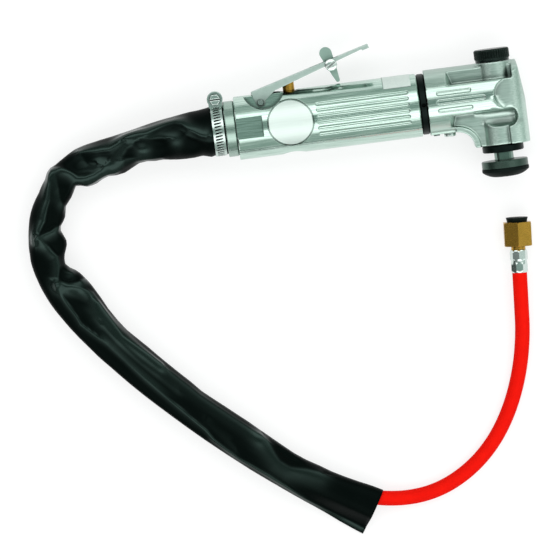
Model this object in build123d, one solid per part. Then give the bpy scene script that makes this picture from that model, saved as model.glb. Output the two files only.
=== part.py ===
from build123d import *
import math
import os

# Pneumatic oscillating windscreen cutter, lying on its side. All sizes are millimetres and degrees.
# While the pieces are made, X is the barrel axis and points to the head, Y is the spindle axis and
# points to the lever side, and Z points up. The two axes cross at zero. The last section sets the
# tool down on z = 0 with its middle over the origin.

# Fits and gaps
SLIP = 0.02
RUN_FIT = 0.05
GAP = 0.4

# Barrel casting
BODY_R = 22.0
BODY_LENGTH = 128.5
BODY_EDGE = 0.8
BODY_WALL = 4.0
VALVE_BLOCK_LENGTH = 51.5
KEEL_RAISE = 0.5
KEEL_ARC = 90.0
KEEL_DIP_R = 24.0
KEEL_DIP_DEPTH = 1.6
PAD_R = 15.5
PAD_RAISE = 0.6
PAD_GROOVE = 0.9
PAD_GROOVE_DEPTH = 0.4
PAD_FROM_REAR = 38.0
WRENCH_FLAT_LENGTH = 18.5
WRENCH_FLAT_DEPTH = 1.3
GROOVE_R = 2.0
GROOVE_DEPTH = 0.8
FLUTE_COUNT = 6
FLUTE_STEP = 11.3
FLUTE_PAD_GAP = 2.5
FLUTE_END_FROM_FRONT = 6.5

# Air passages
INLET_THREAD_R = 8.0
INLET_THREAD_DEPTH = 16.0
INLET_BORE_R = 5.0
EXHAUST_R = 2.2
EXHAUST_CIRCLE_R = 13.5
EXHAUST_ANGLES = (18.0, -10.0, -38.0)
FEED_R = 2.5

# Throttle lever and its pin
LEVER_REST_ANGLE = 15.3
LEVER_SQUEEZE = 9.0
LEVER_PIN_FROM_REAR = 19.0
LEVER_PIN_DEPTH = 5.9
LEVER_PIN_R = 2.0
LEVER_PIN_PROUD = 1.0
LEVER_TAIL = 3.8
LEVER_REACH = 84.3
LEVER_HEIGHT = 8.8
LEVER_WIDTH = 16.0
LEVER_SHEET = 1.3
FLANGE_REAR_DEPTH = 5.0
FLANGE_TIP_DEPTH = 1.4
EAR_R = 3.6
EAR_FRONT = 12.6
LIP_LENGTH = 5.0
LIP_DROP = 1.4
POCKET_R = 15.0
POCKET_AHEAD = 2.5
POCKET_RISE = 10.0

# Lock-off latch on the lever
LATCH_REACH = 55.3
LATCH_BELOW_TOP = 3.6
LATCH_WIDTH = 5.0
LATCH_HUB_R = 3.2
LATCH_LOBE_R = 4.3
LATCH_LOBE_AT = (-2.7, 8.3)
LATCH_FINGER_R = 2.3
LATCH_FINGER_AT = (1.9, -6.2)
LATCH_TIP_R = 1.4
LATCH_TIP_AT = (3.5, -11.2)
LATCH_SWING = 78.0
LATCH_SCREW_R = 1.6
LATCH_HEAD_R = 4.3
LATCH_HEAD_HEIGHT = 1.5
LATCH_HEAD_EDGE = 0.5
LATCH_SLOT_BEHIND = 14.5
LATCH_SLOT_AHEAD = 7.0
LATCH_SPRING_R = 2.15
LATCH_SPRING_WALL = 0.45

# Throttle valve
PLUNGER_FROM_REAR = 39.6
PLUNGER_R = 4.1
PLUNGER_DOME_R = 8.0
PLUNGER_LEVER_GAP = 0.6
PLUNGER_PRESS = 3.6
PLUNGER_STEM_R = 2.4
PLUNGER_STEM_TOP = 11.0
VALVE_BORE_R = 6.5
VALVE_BORE_FLOOR = -17.0
VALVE_SEAT_Y = 4.0
VALVE_HEAD_R = 5.6
VALVE_HEAD_HEIGHT = 3.0
VALVE_SEAL_HEIGHT = 0.6
VALVE_SPRING_WIRE = 1.0
SPOT_FACE_R = 7.5
SPOT_FACE_DEPTH = 1.0
FEED_Y = 8.5

# Air motor
DRIVE_ROOM = 33.0
LINER_WALL = 3.5
ROTOR_CLEARANCE = 1.7
ROTOR_OFFSET = 1.6
ROTOR_END_GAP = 0.3
VANE_COUNT = 5
VANE_THICKNESS = 2.0
VANE_HEIGHT = 7.0
REAR_PLATE = 5.5
FRONT_PLATE = 6.0
REAR_JOURNAL_R = 4.0
FRONT_JOURNAL_R = 5.0
REAR_BEARING_R = 9.5
FRONT_BEARING_R = 11.5
BEARING_LIP = 1.2
JOURNAL_OUT = 6.0
SQUARE_LENGTH = 8.0
SQUARE_SIDE = 6.0

# Crank, fork and spindle
CRANK_SOCKET_R = 7.0
CRANK_SHAFT_R = 5.0
CRANK_BEARING_R = 13.0
CRANK_BEARING_WIDTH = 8.0
CRANK_BEARING_INSET = 2.3
CRANK_DISC_R = 7.6
CRANK_DISC_WIDTH = 3.8
ECCENTRIC = 1.4
CRANK_PIN_R = 2.5
CRANK_PIN_LENGTH = 12.0
ECCENTRIC_BEARING_R = 6.0
ECCENTRIC_BEARING_WIDTH = 10.0
FORK_RING_R = 12.0
FORK_RING_HALF = 7.0
FORK_TINE_HALF = 5.0
FORK_TINE = 3.0
FORK_TIP_MARGIN = 1.0
SPINDLE_R = 6.75
NECK_ACROSS_FLATS = 11.5
NECK_LENGTH = 6.0
BUSH_R = 9.0
UPPER_BUSH_LENGTH = 11.0
LOWER_BUSH_LENGTH = 15.0
BUSH_SHOULDER = 0.7
SEAL_LENGTH = 2.2
SPINDLE_FLANGE_R = 14.5
SPINDLE_FLANGE_HEIGHT = 4.7
SPINDLE_FLANGE_EDGE = 0.6

# Blade clamp
CLAMP_TRAVEL = 3.75
CLAMP_PITCH = 1.25
ROD_R = 4.0
DISC_R = 16.25
DISC_HEIGHT = 5.5
DISC_EDGE = 0.5
DISC_OVERLAP = 0.5
CAP_R = 16.5
CAP_RIM = 2.0
CAP_HEIGHT = 6.0
CAP_FLAT_R = 5.0
CAP_BULGE = 1.3
KNOB_R = 12.35
KNOB_HEIGHT = 8.7
KNOB_EDGE = 1.2
KNOB_COLLAR_STEP = 0.5
KNOB_COLLAR_HEIGHT = 1.5
KNOB_ROOF = 2.0
KNOB_STEM_R = 5.0
KNOB_STEM_LENGTH = 12.0

# Angle head casting
HEAD_REACH = 49.1
HEAD_STEP = 0.75
NOSE_HALF = 17.8
NOSE_ROUND = 11.0
NOSE_FRONT = 19.4
NOSE_TOP_FRONT = 15.8
NOSE_SLOPE_END = -4.5
NOSE_BACK = 5.6
BOSS_DROP = 12.5
HEAD_SCOOP_R = 11.2
HEAD_SCOOP_BACK = 2.4
BAND_FRONT = 4.6
HEAD_POCKET_REAR = 34.4
HEAD_POCKET_DRAFT = 4.0
HEAD_POCKET_LEAN = 0.8
HEAD_POCKET_FRONT = 11.5
HEAD_POCKET_EDGE = 10.8
UPPER_POCKET_Z = 10.5
HEAD_WEB_HALF = 9.0
HEAD_WEB_REACH = 19.2
HEAD_WEB_FILLET = 12.0
HEAD_RIM = 3.8
HEAD_RIM_HALF = 12.0
UPPER_BOSS_R = 13.8
LOWER_BOSS_R = 14.6
HOLLOW_R = 7.2
HOLLOW_LIFT = 7.1
HOLLOW_OUT = 17.2
HOLLOW_FRONT = 5.2
CAVITY_HALF_HEIGHT = 8.3
HEAD_SPIGOT_WALL = 4.0
HEAD_SLOT_RISE = 6.0
HEAD_SLOT_REAR = 42.5
HEAD_SLOT_FRONT = 17.8
HEAD_LONG_SLOT_FRONT = 8.6

# Lock ring and the two fasteners under the head
RING_WIDTH = 5.5
RING_STEP = 0.7
RING_EDGE = 1.0
RING_NOTCH_R = 1.5
RING_NOTCH_DEPTH = 2.0
RING_NOTCHES = 4
SET_SCREW_R = 2.25
SET_SCREW_PROUD = 1.2
SET_SCREW_BACK = 44.8
GREASE_PLUG_R = 3.0
GREASE_HEAD_R = 4.25
GREASE_HEAD_HEIGHT = 2.8
GREASE_HEAD_EDGE = 0.5
GREASE_PLUG_BACK = 35.6

# Rear end: gasket, exhaust collar, inlet bushing
GASKET = 0.5
GASKET_INSET = 0.5
COLLAR_STEP = 2.5
COLLAR_WIDTH = 7.0
COLLAR_EDGE = 0.5
COLLAR_WEB = 3.4
SPIGOT_R = 16.2
SPIGOT_WALL = 2.2
SPIGOT_LENGTH = 12.4
BUSHING_FLANGE_R = 10.5
BUSHING_FLANGE = 4.0
BUSHING_TAIL_R = 6.0
BUSHING_TAIL = 11.0
BUSHING_BORE_R = 2.6

# Sleeve clamp
SLEEVE_WALL = 1.0
BAND_FROM_COLLAR = 1.0
BAND_WIDTH = 8.0
BAND_THICKNESS = 0.8
WORM_R = 3.5
WORM_LIFT = 4.0
WORM_HOUSING_WALL = 2.0
WORM_HOUSING_HALF = 7.5
WORM_BASE_OVERHANG = 0.8
WORM_HEAD_FLATS = 7.0
WORM_HEAD_HEIGHT = 4.5
WORM_HEAD_GAP = 0.3
WORM_TAIL = 1.5

# Bare label on the barrel
LABEL_WIDTH = 19.5
LABEL_FROM_FRONT = 4.5
LABEL_ARC = 100.0
LABEL_THICKNESS = 0.2

# Exhaust sleeve and air hose
SLEEVE_R = 13.5
SLEEVE_CUFF = 12.3
SLEEVE_TAPER = 14.5
HOSE_R = 5.25
HOSE_BORE_R = 3.2
FLOOR_LIFT = 0.1
FERRULE_R = 6.0
FERRULE_LENGTH = 16.4
COUPLING_LEAN = 4.06
COUPLING_NECK_R = 5.0
COUPLING_NECK = 2.4
COUPLING_FLATS = 19.0
COUPLING_LENGTH = 16.8
COUPLING_EDGE = 0.8
COUPLING_THREAD_R = 5.7
COUPLING_THREAD_DEPTH = 13.0
COUPLING_MOUTH_R = 6.15
COUPLING_MOUTH_DEPTH = 3.4
COUPLING_BORE_R = 3.0
PLUG_CLEARANCE = 0.08
PLUG_ROOT_R = 6.95
PLUG_TOP_R = 7.75
PLUG_HEIGHT = 3.2
PLUG_PULL = 20.0

# Radii and heights that follow the barrel
HEAD_R = BODY_R + HEAD_STEP
HEAD_RISE = HEAD_STEP
RING_R = BODY_R - RING_STEP
COLLAR_R = BODY_R - COLLAR_STEP
GASKET_R = COLLAR_R - GASKET_INSET
LEVER_PIN_Y = BODY_R - LEVER_PIN_DEPTH
MOTOR_BORE_R = BODY_R - BODY_WALL
MOTOR_BORE_DEPTH = BODY_LENGTH - VALVE_BLOCK_LENGTH
LINER_LENGTH = MOTOR_BORE_DEPTH - DRIVE_ROOM
LINER_BORE_R = MOTOR_BORE_R - LINER_WALL
ROTOR_R = LINER_BORE_R - ROTOR_CLEARANCE
SPIGOT_BORE_R = MOTOR_BORE_R - HEAD_SPIGOT_WALL
SPOT_FACE_Y = BODY_R - SPOT_FACE_DEPTH

# Stations along the barrel, from the spindle axis back to the rear
X_HEAD_REAR = -HEAD_REACH
X_BODY_FRONT = X_HEAD_REAR - RING_WIDTH
X_BODY_REAR = X_BODY_FRONT - BODY_LENGTH
X_BORE_END = X_BODY_FRONT - MOTOR_BORE_DEPTH
X_LINER_REAR = X_BORE_END + REAR_PLATE
X_LINER_FRONT = X_LINER_REAR + LINER_LENGTH
X_STACK_FRONT = X_LINER_FRONT + FRONT_PLATE
X_JOURNAL_END = X_STACK_FRONT + JOURNAL_OUT
X_SQUARE_END = X_JOURNAL_END + SQUARE_LENGTH
X_PAD = X_BODY_REAR + PAD_FROM_REAR
X_LEVER_PIN = X_BODY_REAR + LEVER_PIN_FROM_REAR
X_PLUNGER = X_BODY_REAR + PLUNGER_FROM_REAR
X_COLLAR_FRONT = X_BODY_REAR - GASKET
X_COLLAR_REAR = X_COLLAR_FRONT - COLLAR_WIDTH
X_SPIGOT_END = X_COLLAR_REAR - SPIGOT_LENGTH
X_COLLAR_WEB = X_COLLAR_FRONT - COLLAR_WEB
X_BUSHING_REAR = X_COLLAR_WEB - BUSHING_FLANGE
X_HOSE_START = X_BUSHING_REAR - BUSHING_TAIL
X_CRANK_BEARING = X_HEAD_REAR + CRANK_BEARING_INSET
X_CRANK_BEARING_END = X_CRANK_BEARING + CRANK_BEARING_WIDTH
X_CRANK_DISC = X_CRANK_BEARING_END + GAP
X_CRANK_PIN = X_CRANK_DISC + CRANK_DISC_WIDTH
X_ECCENTRIC_BEARING = X_CRANK_PIN + GAP

# Heights along the spindle axis
HEAD_TOP = HEAD_RISE + HEAD_R
HEAD_UNDERSIDE = HEAD_RISE - HEAD_R
BOSS_BOTTOM = HEAD_UNDERSIDE - BOSS_DROP
FLANGE_BOTTOM = BOSS_BOTTOM - GAP - SPINDLE_FLANGE_HEIGHT
DISC_TOP = FLANGE_BOTTOM - NECK_LENGTH
DISC_BOTTOM = DISC_TOP - DISC_HEIGHT
KNOB_BOTTOM = HEAD_TOP + GAP
FLOOR_Z = -max(HEAD_R, BODY_R + PAD_RAISE)

# What the crank throws the fork through
FORK_ARM = -(X_ECCENTRIC_BEARING + ECCENTRIC_BEARING_WIDTH / 2)
SPINDLE_SWING = math.degrees(math.atan(ECCENTRIC / FORK_ARM))
FORK_TIP = -X_ECCENTRIC_BEARING - FORK_TIP_MARGIN
FORK_SWEEP = FORK_TIP * math.sin(math.radians(SPINDLE_SWING))
FORK_GAP_HALF = ECCENTRIC_BEARING_R + ECCENTRIC + FORK_SWEEP + GAP
CAVITY_HALF_WIDTH = FORK_GAP_HALF + FORK_TINE + FORK_SWEEP + GAP

# Lengths that only have to reach past what they cut
PAST = 5.0


def along_x(radius, x0, x1, y=0.0, z=0.0):
    """A round bar along X."""
    return Pos((x0 + x1) / 2, y, z) * Rot(0, 90, 0) * Cylinder(radius, x1 - x0)


def along_y(radius, y0, y1, x=0.0, z=0.0):
    """A round bar along Y."""
    return Pos(x, (y0 + y1) / 2, z) * Rot(90, 0, 0) * Cylinder(radius, y1 - y0)


def along_z(radius, z0, z1, x=0.0, y=0.0):
    """A round bar along Z."""
    return Pos(x, y, (z0 + z1) / 2) * Cylinder(radius, z1 - z0)


def block(x0, x1, y0, y1, z0, z1):
    """A box between two corners."""
    middle = Pos((x0 + x1) / 2, (y0 + y1) / 2, (z0 + z1) / 2)
    return middle * Box(x1 - x0, y1 - y0, z1 - z0)


def both_sides(shape):
    """The shape and its mirror image on the other side of the barrel's middle plane."""
    return shape + mirror(shape, about=Plane.XY)


def round_edges(shape):
    """The full-circle edges of a shape."""
    return shape.edges().filter_by(GeomType.CIRCLE)


def groove(x0, x1, surface_r, y_centre, angle):
    """A round-ended groove cutter on a cylinder about X. The angle runs from +Z towards +Y."""
    reach = surface_r + GROOVE_R - GROOVE_DEPTH
    y = y_centre + reach * math.sin(math.radians(angle))
    z = reach * math.cos(math.radians(angle))
    cutter = along_x(GROOVE_R, x0 + GROOVE_R, x1 - GROOVE_R, y, z)
    for x in (x0 + GROOVE_R, x1 - GROOVE_R):
        cutter += Pos(x, y, z) * Sphere(GROOVE_R)
    return cutter


def exhaust_holes(x0, x1):
    """The ring of exhaust passages, which runs through the housing, the gasket and the collar."""
    holes = Part()
    for angle in EXHAUST_ANGLES:
        y = EXHAUST_CIRCLE_R * math.sin(math.radians(angle))
        z = EXHAUST_CIRCLE_R * math.cos(math.radians(angle))
        holes += both_sides(along_x(EXHAUST_R, x0, x1, y, z))
    return holes


def make_motor_housing():
    """Barrel casting with the motor bore in front and the valve block behind."""
    body = along_x(BODY_R, X_BODY_REAR, X_BODY_FRONT)
    body = chamfer(round_edges(body), BODY_EDGE)
    keel_root = BODY_R - BODY_EDGE
    keel_top = BODY_R + KEEL_RAISE
    strip = Pos((X_BODY_REAR + X_BODY_FRONT) / 2, -(keel_root + keel_top) / 2)
    strip = strip * Rectangle(BODY_LENGTH, keel_top - keel_root)
    body += Rot(-KEEL_ARC / 2, 0, 0) * revolve(strip, Axis.X, KEEL_ARC)
    dip_y = -keel_top - KEEL_DIP_R + KEEL_DIP_DEPTH
    body -= along_z(KEEL_DIP_R, -BODY_R, BODY_R, X_PAD, dip_y)
    # Round pads on both sides, each in a fine turned groove
    disc = along_z(PAD_R, 0, BODY_R + PAST, X_PAD)
    moat = along_z(PAD_R + PAD_GROOVE, 0, BODY_R + PAST, X_PAD) - disc
    skin = along_x(BODY_R + PAST, X_BODY_REAR, X_BODY_FRONT)
    skin -= along_x(BODY_R - PAD_GROOVE_DEPTH, X_BODY_REAR, X_BODY_FRONT)
    body -= both_sides(moat & skin)
    body += both_sides(disc & along_x(BODY_R + PAD_RAISE, X_BODY_REAR, X_BODY_FRONT))
    # Flutes, wrench flats and the pockets for the lever's ears
    middle = (FLUTE_COUNT - 1) / 2
    for i in range(FLUTE_COUNT):
        start = X_PAD + PAD_R + FLUTE_PAD_GAP
        end = X_BODY_FRONT - FLUTE_END_FROM_FRONT
        body -= both_sides(groove(start, end, BODY_R, 0, (i - middle) * FLUTE_STEP))
    flat_z = BODY_R - WRENCH_FLAT_DEPTH
    flat_end = X_BODY_REAR + WRENCH_FLAT_LENGTH
    body -= both_sides(block(X_BODY_REAR - PAST, flat_end, -BODY_R, BODY_R, flat_z, BODY_R + PAST))
    pocket_x = X_LEVER_PIN + POCKET_AHEAD
    pocket_y = LEVER_PIN_Y + POCKET_RISE
    body -= both_sides(along_z(POCKET_R, EAR_WEB_HALF, BODY_R + PAST, pocket_x, pocket_y))
    body -= along_z(LEVER_PIN_R + SLIP, -BODY_R, BODY_R, X_LEVER_PIN, LEVER_PIN_Y)
    # Motor bore, inlet thread, valve bore and air passages
    body -= along_x(MOTOR_BORE_R, X_BORE_END, X_BODY_FRONT + PAST)
    thread_end = X_BODY_REAR + INLET_THREAD_DEPTH
    body -= along_x(INLET_THREAD_R, X_BODY_REAR - PAST, thread_end)
    body -= along_x(INLET_BORE_R, X_BODY_REAR, X_PLUNGER)
    body -= along_y(VALVE_BORE_R, VALVE_BORE_FLOOR, BODY_R + PAST, X_PLUNGER)
    body -= along_y(SPOT_FACE_R, SPOT_FACE_Y, BODY_R + PAST, X_PLUNGER)
    body -= along_x(FEED_R, X_PLUNGER, X_BORE_END + PAST, FEED_Y)
    body -= exhaust_holes(X_BODY_REAR - PAST, X_BORE_END + PAST)
    return body


def head_pocket(front, edge, far, floor_z):
    """Cutter for a side pocket of the head, from its edge beside the band to far outside the casting.
    The rear wall leans: its mouth runs straight across, and its foot lies forward where it is deep."""
    rise = math.copysign(math.sqrt(HEAD_R**2 - floor_z**2), edge)
    mouth = Vector(-HEAD_POCKET_REAR, edge, math.sqrt(HEAD_R**2 - HEAD_POCKET_EDGE**2))
    foot = Vector(HEAD_POCKET_DRAFT - HEAD_POCKET_REAR, edge, floor_z)
    apex = Vector(HEAD_POCKET_LEAN - HEAD_POCKET_REAR, HEAD_RISE + rise, floor_z)
    normal = (apex - mouth).cross(foot - mouth)
    wall = Plane(origin=mouth, x_dir=foot - mouth, z_dir=normal * math.copysign(1, normal.X))
    cutter = block(X_HEAD_REAR, front, min(edge, far), max(edge, far), floor_z, HEAD_R + PAST)
    return split(cutter, bisect_by=wall, keep=Keep.TOP)


def make_head_web(arc_x, arc_y):
    """Web under the band, the rim round its edge and the lower boss."""
    web = block(X_HEAD_REAR, 0, BOSS_BOTTOM, 0, -HEAD_WEB_HALF, HEAD_WEB_HALF)
    half = HEAD_RIM_HALF
    rim_top = HEAD_UNDERSIDE + HEAD_RIM
    rim_front = HEAD_RIM - HEAD_WEB_REACH
    rim = along_z(HEAD_WEB_FILLET + HEAD_RIM, -half, half, arc_x, arc_y)
    rim = rim & block(arc_x, rim_front, arc_y, rim_top, -half, half)
    rim += block(-HEAD_WEB_REACH, rim_front, BOSS_BOTTOM, arc_y, -half, half)
    rail = along_x(HEAD_R, X_HEAD_REAR, arc_x, HEAD_RISE)
    rim += rail & block(X_HEAD_REAR, arc_x, HEAD_UNDERSIDE, rim_top, -HEAD_R, HEAD_R)
    boss = along_y(LOWER_BOSS_R, BOSS_BOTTOM, 0)
    return web + rim + boss


def head_hollow(top):
    """Cutter for the round hollow over the lower boss, which runs out in the nose."""
    y = HEAD_UNDERSIDE + HOLLOW_LIFT
    hollow = along_x(HOLLOW_R, -LOWER_BOSS_R, HOLLOW_FRONT, y, HOLLOW_OUT)
    hollow += Pos(HOLLOW_FRONT, y, HOLLOW_OUT) * Sphere(HOLLOW_R)
    reach = HOLLOW_FRONT + HOLLOW_R
    return hollow & block(-LOWER_BOSS_R, reach, y - HOLLOW_R, top, 0, HOLLOW_OUT + HOLLOW_R)


def make_head_housing():
    """Angle head casting: a round band, a rounded nose, two bosses, side pockets and the inner bores."""
    arc_start = -HEAD_WEB_REACH - HEAD_WEB_FILLET
    arc_end = HEAD_UNDERSIDE - HEAD_WEB_FILLET
    outline = Polyline(
        (-HEAD_WEB_REACH, arc_end),
        (-HEAD_WEB_REACH, BOSS_BOTTOM),
        (NOSE_FRONT, BOSS_BOTTOM),
        (NOSE_FRONT, NOSE_SLOPE_END),
        (NOSE_TOP_FRONT, HEAD_TOP),
        (X_HEAD_REAR, HEAD_TOP),
        (X_HEAD_REAR, HEAD_UNDERSIDE),
        (arc_start, HEAD_UNDERSIDE),
    )
    corner = CenterArc((arc_start, arc_end), HEAD_WEB_FILLET, 0, 90)
    silhouette = extrude(make_face(outline.edges() + corner.edges()), HEAD_R, both=True)
    # The band carries on from the barrel, and the nose stands across its front end
    band = along_x(HEAD_R, X_HEAD_REAR, BAND_FRONT, HEAD_RISE)
    scoop_x = HEAD_SCOOP_R - HEAD_SCOOP_BACK
    band -= along_z(HEAD_SCOOP_R, -HEAD_R, HEAD_R, scoop_x, HEAD_RISE)
    upper_edge = HEAD_RISE + HEAD_POCKET_EDGE
    lower_edge = HEAD_RISE - HEAD_POCKET_EDGE
    nose = block(-HEAD_WEB_REACH, NOSE_FRONT, BOSS_BOTTOM, HEAD_TOP, -NOSE_HALF, NOSE_HALF)
    nose = fillet(nose.edges().filter_by(Axis.Y).sort_by(Axis.X)[-2:], NOSE_ROUND)
    roof = along_x(HEAD_R, X_HEAD_REAR, NOSE_FRONT, HEAD_RISE)
    roof += block(X_HEAD_REAR, NOSE_FRONT, BOSS_BOTTOM, HEAD_RISE, -HEAD_R, HEAD_R)
    shell = band + (nose & roof)
    # Side pockets, open to the top and to the underside
    shell -= both_sides(head_pocket(HEAD_POCKET_FRONT, upper_edge, HEAD_TOP + PAST, UPPER_POCKET_Z))
    shell -= both_sides(head_pocket(NOSE_BACK, lower_edge, BOSS_BOTTOM - PAST, HEAD_WEB_HALF))
    shell += along_y(UPPER_BOSS_R, 0, HEAD_TOP)
    shell += make_head_web(arc_start, arc_end)
    shell -= both_sides(head_hollow(lower_edge))
    shell = shell & silhouette
    # Slots along the band
    for side in (-1, 0, 1):
        front = HEAD_SLOT_FRONT if side else HEAD_LONG_SLOT_FRONT
        angle = math.degrees(math.asin(side * HEAD_SLOT_RISE / HEAD_R))
        shell -= both_sides(groove(-HEAD_SLOT_REAR, -front, HEAD_R, HEAD_RISE, angle))
    # Spigot into the barrel, bearing seat, fork cavity and spindle bores
    shell += along_x(MOTOR_BORE_R - SLIP, X_STACK_FRONT, X_HEAD_REAR)
    shell -= along_x(SPIGOT_BORE_R, X_STACK_FRONT - PAST, X_CRANK_BEARING)
    shell -= along_x(CRANK_BEARING_R, X_CRANK_BEARING, X_CRANK_BEARING_END)
    shell -= block(
        X_CRANK_BEARING_END, 0, -CAVITY_HALF_HEIGHT, CAVITY_HALF_HEIGHT, -CAVITY_HALF_WIDTH, CAVITY_HALF_WIDTH
    )
    shell -= along_y(FORK_RING_R + GAP, -CAVITY_HALF_HEIGHT, CAVITY_HALF_HEIGHT)
    shell -= along_y(SPINDLE_R + GAP, BOSS_BOTTOM - PAST, HEAD_TOP + PAST)
    shell -= along_y(BUSH_R, 0, UPPER_BUSH_TOP)
    shell -= along_y(BUSH_R, BOSS_BOTTOM - PAST, LOWER_BUSH_TOP)
    # Threaded holes for the two fasteners underneath
    shell -= along_y(SET_SCREW_R, HEAD_UNDERSIDE - PAST, 0, -SET_SCREW_BACK)
    shell -= along_y(GREASE_PLUG_R, HEAD_UNDERSIDE - PAST, 0, -GREASE_PLUG_BACK)
    return shell


def make_lock_ring():
    """Threaded ring between barrel and head, with spanner notches."""
    ring = along_x(RING_R, X_BODY_FRONT, X_HEAD_REAR)
    ring = chamfer(round_edges(ring), RING_EDGE)
    ring -= along_x(MOTOR_BORE_R, X_BODY_FRONT, X_HEAD_REAR)
    middle = (X_BODY_FRONT + X_HEAD_REAR) / 2
    for i in range(RING_NOTCHES):
        notch = along_z(RING_NOTCH_R, RING_R - RING_NOTCH_DEPTH, RING_R + PAST, middle)
        ring -= Rot(i * 360 / RING_NOTCHES, 0, 0) * notch
    return ring


def make_fastener(radius, head_r, head_height, edge, x, seat_y, tip_y):
    """A screw from below, along Y: head under seat_y, shank up to tip_y."""
    head = along_y(head_r, seat_y - head_height, seat_y, x)
    head = chamfer(round_edges(head).sort_by(Axis.Y)[:1], edge)
    return head + along_y(radius - SLIP, seat_y, tip_y, x)


def make_exhaust_collar():
    """Collar screwed to the barrel by the inlet bushing, with the spigot that carries the sleeve."""
    collar = along_x(COLLAR_R, X_COLLAR_REAR, X_COLLAR_FRONT)
    collar = chamfer(round_edges(collar), COLLAR_EDGE)
    collar += along_x(SPIGOT_R, X_SPIGOT_END, X_COLLAR_REAR)
    collar -= along_x(SPIGOT_R - SPIGOT_WALL, X_SPIGOT_END - PAST, X_COLLAR_WEB)
    collar -= along_x(INLET_THREAD_R + SLIP, X_SPIGOT_END, X_BODY_REAR)
    collar -= exhaust_holes(X_COLLAR_WEB - PAST, X_BODY_REAR)
    return collar


def make_collar_gasket():
    """Flat gasket between the barrel and the collar."""
    gasket = along_x(GASKET_R, X_COLLAR_FRONT, X_BODY_REAR)
    gasket -= along_x(INLET_THREAD_R + SLIP, X_COLLAR_FRONT - PAST, X_BODY_REAR + PAST)
    return gasket - exhaust_holes(X_COLLAR_FRONT - PAST, X_BODY_REAR + PAST)


def make_inlet_bushing():
    """Bushing that holds the collar on and takes the crimped end of the hose."""
    flats = 2 * BUSHING_FLANGE_R * math.cos(math.radians(30))
    hexagon = Rot(0, 90, 0) * extrude(RegularPolygon(flats / 2, 6, major_radius=False), BUSHING_FLANGE)
    bushing = Pos(X_BUSHING_REAR, 0, 0) * hexagon
    bushing += along_x(INLET_THREAD_R - SLIP, X_COLLAR_WEB, X_BODY_REAR + INLET_THREAD_DEPTH)
    bushing += along_x(BUSHING_TAIL_R, X_HOSE_START, X_BUSHING_REAR)
    return bushing - along_x(BUSHING_BORE_R, X_HOSE_START - PAST, X_BODY_REAR + INLET_THREAD_DEPTH + PAST)


def make_clamp_band():
    """Steel band round the sleeve's cuff."""
    band = along_x(BAND_R, X_BAND_REAR, X_BAND_FRONT)
    return band - along_x(CUFF_R + SLIP, X_BAND_REAR - PAST, X_BAND_FRONT + PAST)


def make_clamp_screw_housing():
    """Saddle on the band that holds the worm screw."""
    outer = WORM_R + WORM_HOUSING_WALL
    x0 = X_BAND_REAR - WORM_BASE_OVERHANG
    x1 = X_BAND_FRONT + WORM_BASE_OVERHANG
    half = WORM_HOUSING_HALF
    housing = along_z(outer, -half, half, X_BAND, WORM_Y)
    housing += block(x0, x1, 0, WORM_Y, -half, half)
    housing -= along_x(BAND_R + SLIP, x0 - PAST, x1 + PAST)
    return housing - along_z(WORM_R + RUN_FIT, -half - PAST, half + PAST, X_BAND, WORM_Y)


def make_clamp_screw():
    """Worm screw with a slotted hexagon head towards the viewer."""
    head_z = WORM_HOUSING_HALF + WORM_HEAD_GAP
    screw = along_z(WORM_R, -WORM_HOUSING_HALF - WORM_TAIL, head_z, X_BAND, WORM_Y)
    hexagon = extrude(RegularPolygon(WORM_HEAD_FLATS / 2, 6, major_radius=False), WORM_HEAD_HEIGHT)
    screw += Pos(X_BAND, WORM_Y, head_z) * hexagon
    slot_z = head_z + WORM_HEAD_HEIGHT - WORM_R / 2
    slot = block(-WORM_HEAD_FLATS, WORM_HEAD_FLATS, -BAND_THICKNESS / 2, BAND_THICKNESS / 2, 0, PAST)
    return screw - Pos(X_BAND, WORM_Y, slot_z) * slot


def lever_place():
    """The lever's own frame: origin on its pin, x along its top plate."""
    return Pos(X_LEVER_PIN, LEVER_PIN_Y, 0) * Rot(0, 0, LEVER_REST_ANGLE)


def make_throttle_lever():
    """Pressed channel: top plate, two tapering flanges, ears on the pin and lugs for the latch screw."""
    top = LEVER_HEIGHT
    half = LEVER_WIDTH / 2
    inner = half - LEVER_SHEET
    edge = Polyline(
        (-EAR_R, 0),
        (-LEVER_TAIL, top - FLANGE_REAR_DEPTH),
        (-LEVER_TAIL, top),
        (LEVER_REACH, top),
        (LEVER_REACH, top - FLANGE_TIP_DEPTH),
        (EAR_FRONT, top - FLANGE_REAR_DEPTH),
        (EAR_R, 0),
    )
    heel = ThreePointArc((EAR_R, 0), (0, -EAR_R), (-EAR_R, 0))
    lever = extrude(make_face(edge.edges() + heel.edges()), half, both=True)
    lever += along_z(LATCH_HEAD_R, -half, half, LATCH_REACH, top - LATCH_BELOW_TOP)
    lever -= block(-PAST - LEVER_TAIL, LEVER_REACH + PAST, -top, top - LEVER_SHEET, -inner, inner)
    lever -= block(-PAST - LEVER_TAIL, LEVER_REACH + PAST, top, top + PAST, -half, half)
    lip = block(LEVER_REACH - LIP_LENGTH, LEVER_REACH, top - LEVER_SHEET - LIP_DROP, top, -half, half)
    lever += lip
    # Slot for the latch, and the two pivots
    slot_half = LATCH_WIDTH / 2 + GAP
    slot_start = LATCH_REACH - LATCH_SLOT_BEHIND
    lever -= block(slot_start, LATCH_REACH + LATCH_SLOT_AHEAD, 0, top + PAST, -slot_half, slot_half)
    lever -= along_z(LEVER_PIN_R + RUN_FIT, -half - PAST, half + PAST)
    lever -= along_z(LATCH_SCREW_R + SLIP, -half - PAST, half + PAST, LATCH_REACH, top - LATCH_BELOW_TOP)
    return lever_place() * lever


def latch_pivot():
    """Where the latch turns, at rest."""
    return (lever_place() * Pos(LATCH_REACH, LEVER_HEIGHT - LATCH_BELOW_TOP, 0)).position


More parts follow.
